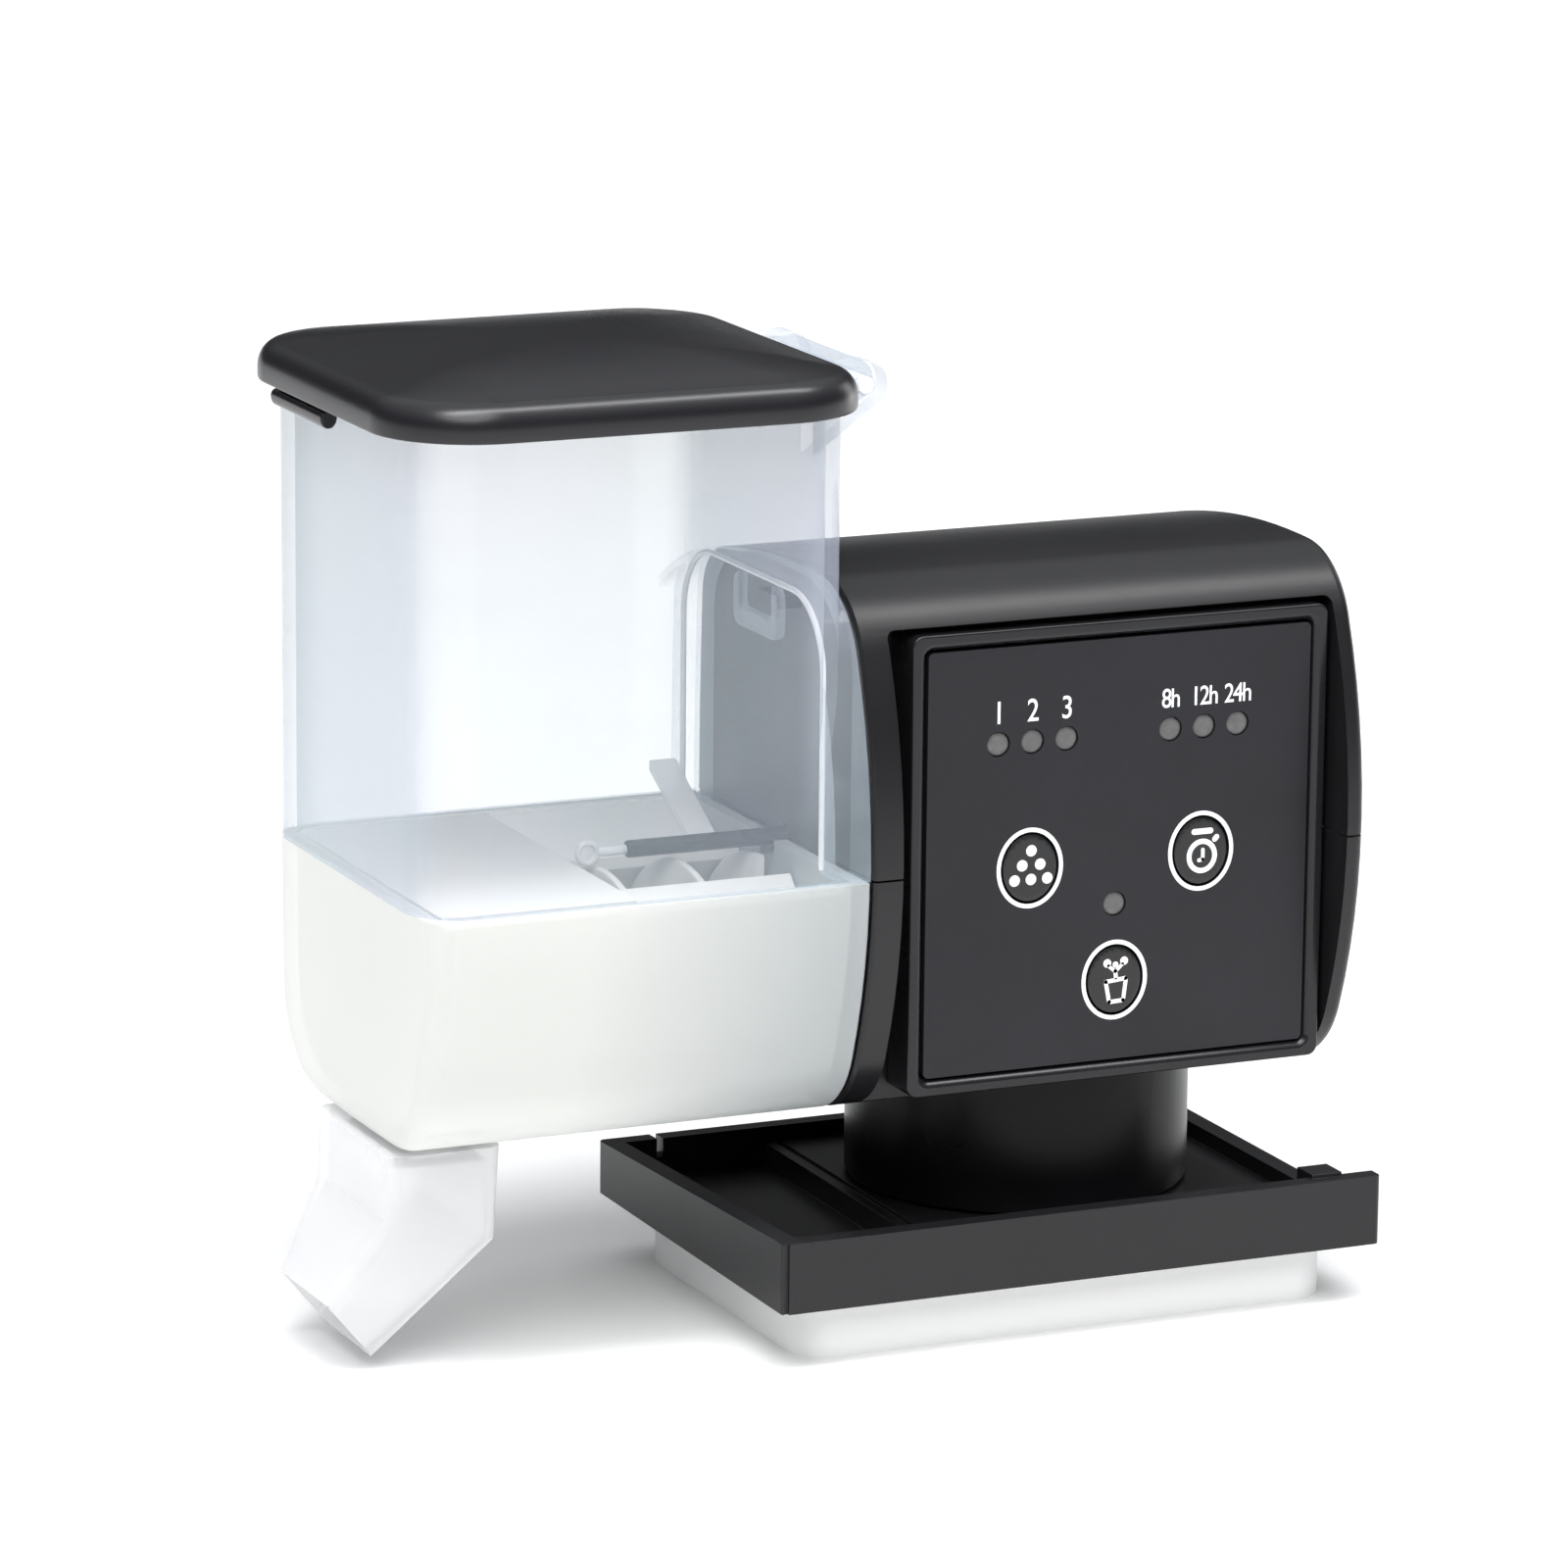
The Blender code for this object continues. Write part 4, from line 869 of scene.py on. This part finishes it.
def amount_icon(centre, front):
    """Six pellets in a pyramid."""
    x, z = centre[0] + 0.15, centre[1]
    places = [(0.0, 2.5), (-1.4, 0.45), (1.4, 0.45), (-2.55, -1.65), (0.0, -1.65), (2.55, -1.65)]
    back = front + PRINT_THICK
    return merge("amount_icon", [disc("pellet", "Y", (x + dx, z + dz), 0.82, front, back, 32)
                                 for dx, dz in places])


def timer_icon(centre, front):
    """Stopwatch."""
    x, z = centre[0] + 0.15, centre[1] - 0.75
    parts = [band("dial", (x, z), (1.65, 1.75), 0.75, front)]
    parts += stroke([(x - 1.3, z + 3.6), (x + 1.3, z + 3.6)], 0.85, front)
    parts += stroke([(x + 2.0, z + 2.3), (x + 2.3, z + 2.6)], 0.8, front)
    parts += stroke([(x + 0.15, z + 0.9), (x + 0.15, z - 0.5), (x - 0.45, z - 0.6)], 0.55, front)
    return merge("timer_icon", parts)


def feed_icon(centre, front):
    """Pot with food above it."""
    x, z = centre[0] + 0.1, centre[1] - 0.1
    parts = [disc("flake", "Y", (x + dx, z + dz), size, front, front + PRINT_THICK, 24)
             for dx, dz, size in ((-1.3, 2.6, 0.62), (0.0, 2.3, 0.45), (1.35, 2.75, 0.62))]
    parts += stroke([(x - 1.1, z + 2.2), (x, z + 1.3), (x + 1.1, z + 2.3)], 0.5, front)
    parts += stroke([(x, z + 1.4), (x + 0.1, z + 0.4)], 0.6, front)
    pot = [(-1.5, -0.1), (1.7, 0.2), (1.3, -3.0), (-0.9, -3.1), (-1.5, -0.1)]
    parts += stroke([(x + dx, z + dz) for dx, dz in pot], 0.6, front)
    return merge("feed_icon", parts)


ICONS = {"amount": amount_icon, "timer": timer_icon, "feed": feed_icon}


def make_scale(looks):
    """Step numbers above the left lamps, hours above the right ones."""
    digit, hour = 4.6, 3.9
    marks = (("1", digit), ("2", digit), ("3", digit), ("8h", hour), ("12h", hour), ("24h", hour))
    for (text, size), place in zip(marks, lamp_row("left") + lamp_row("right")):
        curve = bpy.data.curves.new(f"scale_{text}", "FONT")
        curve.body = text
        curve.align_x = "CENTER"
        curve.align_y = "CENTER"
        curve.size = size * MM
        curve.extrude = 0.02 * MM
        curve.offset = 0.02 * MM
        curve.space_character = 0.86 if len(text) > 1 else 1.0
        lettering = bpy.data.objects.new(f"scale_{text}", curve)
        bpy.context.scene.collection.objects.link(lettering)
        lettering.rotation_euler = (0.5 * pi, 0.0, 0.0)
        lettering.scale = (0.84, 1.0, 1.0)
        lettering.location = (place[0] * MM, (PRINT_Y + 0.01) * MM, (place[1] + 4.35) * MM)
        settle(lettering, "head", "panel_plate", looks["print"])


# ---- hopper ----
def make_hopper(looks):
    y = (-HOPPER_HALF_Y, HOPPER_HALF_Y)
    bottom = span("hopper")[2][0]
    inner_x = (HOPPER_X[0] + CLEAR_WALL, HOPPER_X[1] - CLEAR_WALL)
    inner_y = (y[0] + CLEAR_WALL, y[1] - CLEAR_WALL)
    outside = rounded_rectangle(HOPPER_X, y, HOPPER_CORNER, 20)
    inside = rounded_rectangle(inner_x, inner_y, HOPPER_CORNER - CLEAR_WALL, 20)
    hopper = prism("clear_hopper", outside, "Z", bottom, HOPPER_TOP)
    cuff = body_prism("cuff", 0.0, CUFF_X)
    cut(cuff, half_space(False, bottom))
    join(hopper, cuff)
    for low in (11.0, -15.0):
        join(hopper, hinge_ear(low, low + 4.0))
    arch = rounded_rectangle((-ARCH_HALF_Y, ARCH_HALF_Y), (40.0, ARCH_TOP), 10.0)
    cut(hopper,
        prism("hopper_room", inside, "Z", bottom - 5.0, HOPPER_TOP + 5.0),
        body_prism("cuff_room", CLEAR_WALL, (CUFF_X[0] + 0.4, inner_x[1] - 0.2)),
        prism("arch", arch, "X", inner_x[1] - 1.0, -30.0),
        disc("pin_bore", "Y", HINGE_XZ, PIN_BORE, -20.0, 20.0, 32))
    soften(hopper, 0.3, 2, 35)
    settle(hopper, "hopper_unit", "clear_plastic", looks["clear"], "hopper")


def hinge_ear(low, high):
    """Lug round the hinge pin, with its foot on the hopper's right wall."""
    x, z = HINGE_XZ
    lug = [(x + HINGE_RADIUS * cos(radians(a)), z + HINGE_RADIUS * sin(radians(a)))
           for a in range(-40, 171, 6)]
    wall = HOPPER_X[1] - 0.8
    under_lid = LID_Z[0] - 0.4
    lug += [(LID_RIGHT + 0.5, under_lid), (wall, under_lid), (wall, 116.8)]
    return prism("ear", lug, "Y", low, high)


def make_latch_and_guide(looks):
    x, y, z = span("latch_tab")
    tab = prism("latch_loop", rounded_rectangle(y, z, 2.0, 8), "X", x[0], x[1])
    window = rounded_rectangle((y[0] + 2.0, y[1] - 2.0), (z[0] + 2.8, z[1] + 4.0), 1.2, 6)
    cut(tab, prism("loop_window", window, "X", -45.0, -30.0))
    soften(tab, 0.25, 2)
    settle(tab, "hopper_unit", "clear_plastic", looks["clear"], "latch_tab")

    x = span("guide_plate")[0]
    outer, inner = (26.8, 66.2), (11.2, 57.9)          # the sloping rib's top edge, as (Y, Z)
    thick = 1.6
    slope = [outer, inner, (inner[0], inner[1] - thick), (outer[0], outer[1] - thick)]
    guide = prism("guide_rib", slope, "X", x[0], x[1])
    soften(guide, 0.3, 2)
    # The rib's pale plastic also paints the bright strip of highlight along its edge.
    settle(guide, "hopper_unit", "clear_plastic", looks["pale_and_highlight"], "guide_plate")


def make_arch_bead(looks):
    """Pale line round the opening in the hopper's right wall: a thin rim lip whose pale colour
    paints the highlight along the arch's cut edge.
    """
    x = HOPPER_X[1] - CLEAR_WALL - 0.3
    half, top = ARCH_HALF_Y + 0.45, ARCH_TOP + 0.45
    above = 70.0
    foot = SPLIT_Z + 1.0
    arch = [(x, py, pz) for py, pz in rounded_rectangle((-half, half), (40.0, top), 10.4, 12)
            if pz > above]
    bead = tube("arch_bead", [(x, half, foot), *arch, (x, -half, foot)], 0.42, (1.0, 0.0, 0.0))
    soften(bead, 0.0, angle=50)
    settle(bead, "hopper_unit", "clear_plastic", looks["pale_and_highlight"])


def make_trough(looks):
    x, _, z = TROUGH
    steps = [(x[0] + away, inset) for away, inset in reversed(quarter(3.4, 8))]
    steps += [(x[1] - 0.3, 0.0), (x[1], 0.3)]
    trough = body_loft("milky_trough", steps)
    room = [(x[0] + CLEAR_WALL + away, CLEAR_WALL + inset)
            for away, inset in reversed(quarter(2.0, 6))]
    room.append((x[1] - CLEAR_WALL, CLEAR_WALL))
    cut(trough,
        half_space(True, z[1]),
        body_loft("trough_room", room),
        disc("hub_hole", "X", AXIS, 8.0, -40.0, -30.0),
        block("bar_notch", (-40.0, -30.0), (-2.4, 2.4), (57.4, 70.0)),
        block("drop_hole", (-94.6, -84.6), (-11.0, 11.0), (10.0, 32.0)))
    soften(trough, 0.3, 2, 38)
    settle(trough, "hopper_unit", "milky_plastic", looks["milky"], "trough")


def make_bed(looks):
    x = span("auger_bed")[0]
    half, slot_half = 28.0, 9.4
    slot_x = (-67.0, -34.0)
    barrel_outside, barrel_inside = 14.9, 13.5
    valley_top = [(-half, 59.6), (-slot_half, 54.6), (slot_half, 54.6), (half, 59.6)]
    valley = valley_top + [(y, z - 1.6) for y, z in reversed(valley_top)]
    bed = disc("screw_barrel", "X", AXIS, barrel_outside, x[0], x[1], 72)
    join(bed,
         prism("valley", valley, "X", slot_x[0] - 0.6, x[1]),
         block("deck", (x[0], slot_x[0]), (-half, half), (58.4, 60.2)),
         block("step", (slot_x[0] - 1.4, slot_x[0]), (-half, half), (53.2, 60.0)))
    cut(bed,
        disc("barrel", "X", AXIS, barrel_inside, -94.2, x[1] + 5.0, 72),
        disc("end_bearing", "X", AXIS, 2.2, x[0] - 2.0, -90.0, 24),
        block("slot", slot_x, (-9.0, 9.0), (48.0, 70.0)),
        block("barrel_drop", (-94.0, -84.8), (-9.5, 9.5), (20.0, 42.0)))
    soften(bed, 0.25, 2, 38)
    settle(bed, "hopper_unit", "milky_plastic", looks["bed"], "auger_bed")


def chute_ring(left, right, half, shrink, shift):
    """Rounded outline across the chute, from one (X, Z) edge to the other, moved along it."""
    near = Vector((left[0], 0.0, left[1]))
    away = Vector((right[0], 0.0, right[1]))
    across = (away - near).normalized()
    along = Vector((across.z, 0.0, -across.x))
    flat = rounded_rectangle((shrink, (away - near).length - shrink),
                             (-half + shrink, half - shrink), max(2.2 - shrink, 0.7), 6)
    return [tuple(near + across * u + Vector((0.0, v, 0.0)) + along * shift) for u, v in flat]


def make_chute(looks):
    """Square tube with rounded corners that turns away under the trough."""
    top = HOUSING_Z[0] - GAP
    (outlet_x, _), _, (outlet_z, _) = span("chute")
    wall, overshoot = 1.5, 4.0
    # Left and right edges as (X, Z), half width, and which way the bore overshoots.
    levels = (((-98.4, top), (-81.4, top), 15.0, -1), ((-98.4, 13.7), (-82.2, 9.8), 15.0, 0),
              ((outlet_x, 1.7), (-98.6, outlet_z), 10.0, 1))
    chute = loft("drop_chute", [chute_ring(left, right, half, 0.0, 0.0)
                                for left, right, half, _ in levels])
    cut(chute, loft("chute_room", [chute_ring(left, right, half, wall, overshoot * way)
                                   for left, right, half, way in levels]))
    join(chute,
         block("chute_flange", (-96.9, -82.9), (-13.6, 13.6), (21.2, top)),
         block("chute_neck", (-94.2, -85.0), (-10.6, 10.6), (21.1, 27.6)))
    cut(chute, block("neck_room", (-93.0, -86.2), (-9.4, 9.4), (10.0, 40.0)))
    soften(chute, 0.3, 2, 30)
    settle(chute, "hopper_unit", "milky_plastic", looks["chute"], "chute")


def make_auger(looks):
    start, end = -92.0, -36.8
    pitch, top_x = 12.0, -61.0     # top_x is a place where the flight is uppermost
    shaft, tip = 3.2, 13.0
    per_turn = 48
    flank = [(shaft - 1.2, 1.2), (0.5 * tip, 0.85), (tip - 0.6, 0.66), (tip - 0.15, 0.45)]
    section = [(r, -shift) for r, shift in flank] + [(tip, 0.0)] + flank[::-1]
    count = round((end - start) / pitch * per_turn)
    rings = []
    for step in range(count + 1):
        along = start + (end - start) * step / count
        angle = 0.5 * pi + TURN * (along - top_x) / pitch
        rings.append([(along + shift, r * cos(angle), SCREW_Z + r * sin(angle))
                      for r, shift in section])
    auger = disc("feed_screw_body", "X", AXIS, shaft, start - 1.6, -44.0, 48)
    join(auger,
         loft("flight", rings),
         disc("hub", "X", AXIS, 7.0, -46.5, -34.4),
         disc("end_journal", "X", AXIS, 1.9, -95.4, -93.0, 32))
    cut(auger, prism("socket", oval(AXIS, (4.9, 4.9), 6), "X", -39.4, -30.0))
    soften(auger, 0.0, angle=40)
    settle(auger, "feed_screw", "white_plastic", looks["white"], "auger")


def rod(name, levels, sides):
    """Round rod along the stirrer's line, through (radius, X) pairs."""
    made = loft(name, [[(along, py, pz) for py, pz in oval(BAR_CENTRE, (r, r), sides)]
                       for r, along in levels])
    return soften(made, 0.0, angle=40)


def make_stirrer(looks):
    """Dark bar that ends in a pale ring on a thin neck."""
    x = span("stirrer_bar")[0]
    radius, tip_x = 1.25, -57.0
    bar = rod("stirrer_rod", [(radius, x[1]), (radius, tip_x + 0.4),
                              (radius - 0.15, tip_x + 0.15), (0.8, tip_x)], 32)
    settle(bar, "head", "black_shell", looks["gloss_black"], "stirrer_bar")
    wire, loop_radius = 0.45, 1.45
    loop = [(px, 0.0, pz) for px, pz in
            oval((x[0] + loop_radius + wire, BAR_CENTRE[1]), (loop_radius, loop_radius), 32)]
    eye = tube("stirrer_eye", loop, wire, (0.0, 1.0, 0.0), ring=True)
    soften(eye, 0.0, angle=60)
    settle(eye, "head", "white_plastic", looks["pale_and_highlight"])
    neck = rod("stirrer_neck", [(0.7, -61.3), (0.7, tip_x + 0.1)], 24)
    settle(neck, "head", "white_plastic", looks["pale_and_highlight"])


# ---- lid ----
def lid_rings():
    """Rings from the skirt's inside, down round the rim and up over the crown."""
    x, y, z = span("lid")
    low, side_top = LID_Z
    crown = z[1]
    ceiling, skirt = 129.2, 3.1
    corner = 14.5
    roll, drop = 3.0, 3.9          # the rim's rounded shoulder: width and height
    lip = 0.25                     # from the shoulder to where the crown starts
    crown_inset, crown_power = 30.0, 2.2

    def ring(inset, height):
        reach = y[1] - inset
        radius = max(corner - inset, 1.0) if inset < 8 else max(corner - 0.55 * inset, 3.0)
        outline = rounded_rectangle((x[0] + inset, LID_RIGHT - inset),
                                    (y[0] + inset, y[1] - inset), min(radius, reach - 0.3), 20)
        return [(px, py, height) for px, py in outline]

    rings = [ring(5.0, ceiling), ring(skirt, ceiling), ring(skirt, low + 0.2), ring(2.9, low),
             ring(0.5, low), ring(0.12, low + 0.12), ring(0.0, low + 0.5),
             ring(0.0, side_top - drop)]
    for i in range(1, 9):
        angle = 0.5 * pi * i / 8
        height = side_top - drop + (drop - lip) * sin(angle)
        rings.append(ring(roll * (1 - cos(angle)), height))
    for i in range(1, 11):
        share = i / 10
        rise = (crown - side_top + lip) * (1 - (1 - share) ** crown_power)
        rings.append(ring(roll + crown_inset * share, side_top - lip + rise))
    return rings


def make_lid(looks):
    lid = loft("lid_cap", lid_rings())
    soften(lid, 0.0, angle=42)
    settle(lid, "hopper_lid", "black_lid", looks["lid"], "lid")

    x, z = HINGE_XZ
    knuckle_y = (-10.7, 10.7)
    root = LID_RIGHT + 0.1
    web = [(root, 127.0), (x, z - 2.0), (x, z + 3.0), (root, 129.9)]
    arm = prism("hinge_arm", web, "Y", *knuckle_y)
    join(arm, disc("knuckle", "Y", HINGE_XZ, 3.1, *knuckle_y, 48))
    cut(arm, disc("knuckle_bore", "Y", HINGE_XZ, PIN_BORE, -20.0, 20.0, 32))
    soften(arm, 0.3, 2, 42)
    settle(arm, "hopper_lid", "clear_plastic", looks["clear"])

    x, y, z = span("lid_catch")
    profile = [(-102.3, z[1]), (-102.75, 125.4), (x[0], 124.9), (-102.8, 124.2), (-102.5, 123.6),
               (-102.0, 123.35), (-101.4, z[0]), (-100.9, 123.6), (-100.5, 124.2), (x[1], z[1])]
    catch = prism("lid_lip", profile, "Y", *y)
    soften(catch, 0.35, 3, 25)
    settle(catch, "hopper_lid", "black_lid", looks["gloss_black"], "lid_catch")


# ---- inner pieces keep their CAD shape ----
INNER = {
    "steel": ("pivot_washer", "pivot_screw", "case_screw_1", "case_screw_2", "case_screw_3",
              "case_screw_4", "pedestal_screw_1", "pedestal_screw_2", "switch_amount",
              "switch_timer", "switch_feed", "idler_axle", "gear_plate"),
    "board": ("circuit_board",),
    "chip": ("controller_chip", "lamp_driver"),
    "white": ("output_gear", "idler_gear", "drive_bush"),
    "black": ("drive_coupler", "battery_box"),
    "brass": ("motor_pinion", "contact_left", "contact_right"),
    "motor": ("motor",),
    "cell": ("cell_lower", "cell_upper"),
    "pale_and_highlight": ("hinge_pin",),
}


def dress_inner(looks):
    for look, nodes in INNER.items():
        for node in nodes:
            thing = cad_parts[node]
            thing.data.materials.clear()
            thing.data.materials.append(looks[look])
            weld = thing.modifiers.new("weld", "WELD")
            weld.merge_threshold = WELD
            edge = thing.modifiers.new("rounded_edges", "BEVEL")
            edge.width = 0.12 * MM
            edge.segments = 2
            edge.limit_method = "ANGLE"
            edge.angle_limit = radians(35)


MAKERS = (make_tray, make_pedestal, make_shells, make_door, make_panel, make_lamps, make_keys,
          make_scale, make_hopper, make_latch_and_guide, make_arch_bead, make_trough, make_bed,
          make_chute, make_auger, make_stirrer, make_lid, dress_inner)


def main():
    make_camera()
    make_stage()
    looks = {**black_looks(), **see_through_looks(), **other_looks()}
    for make in MAKERS:
        make(looks)


main()
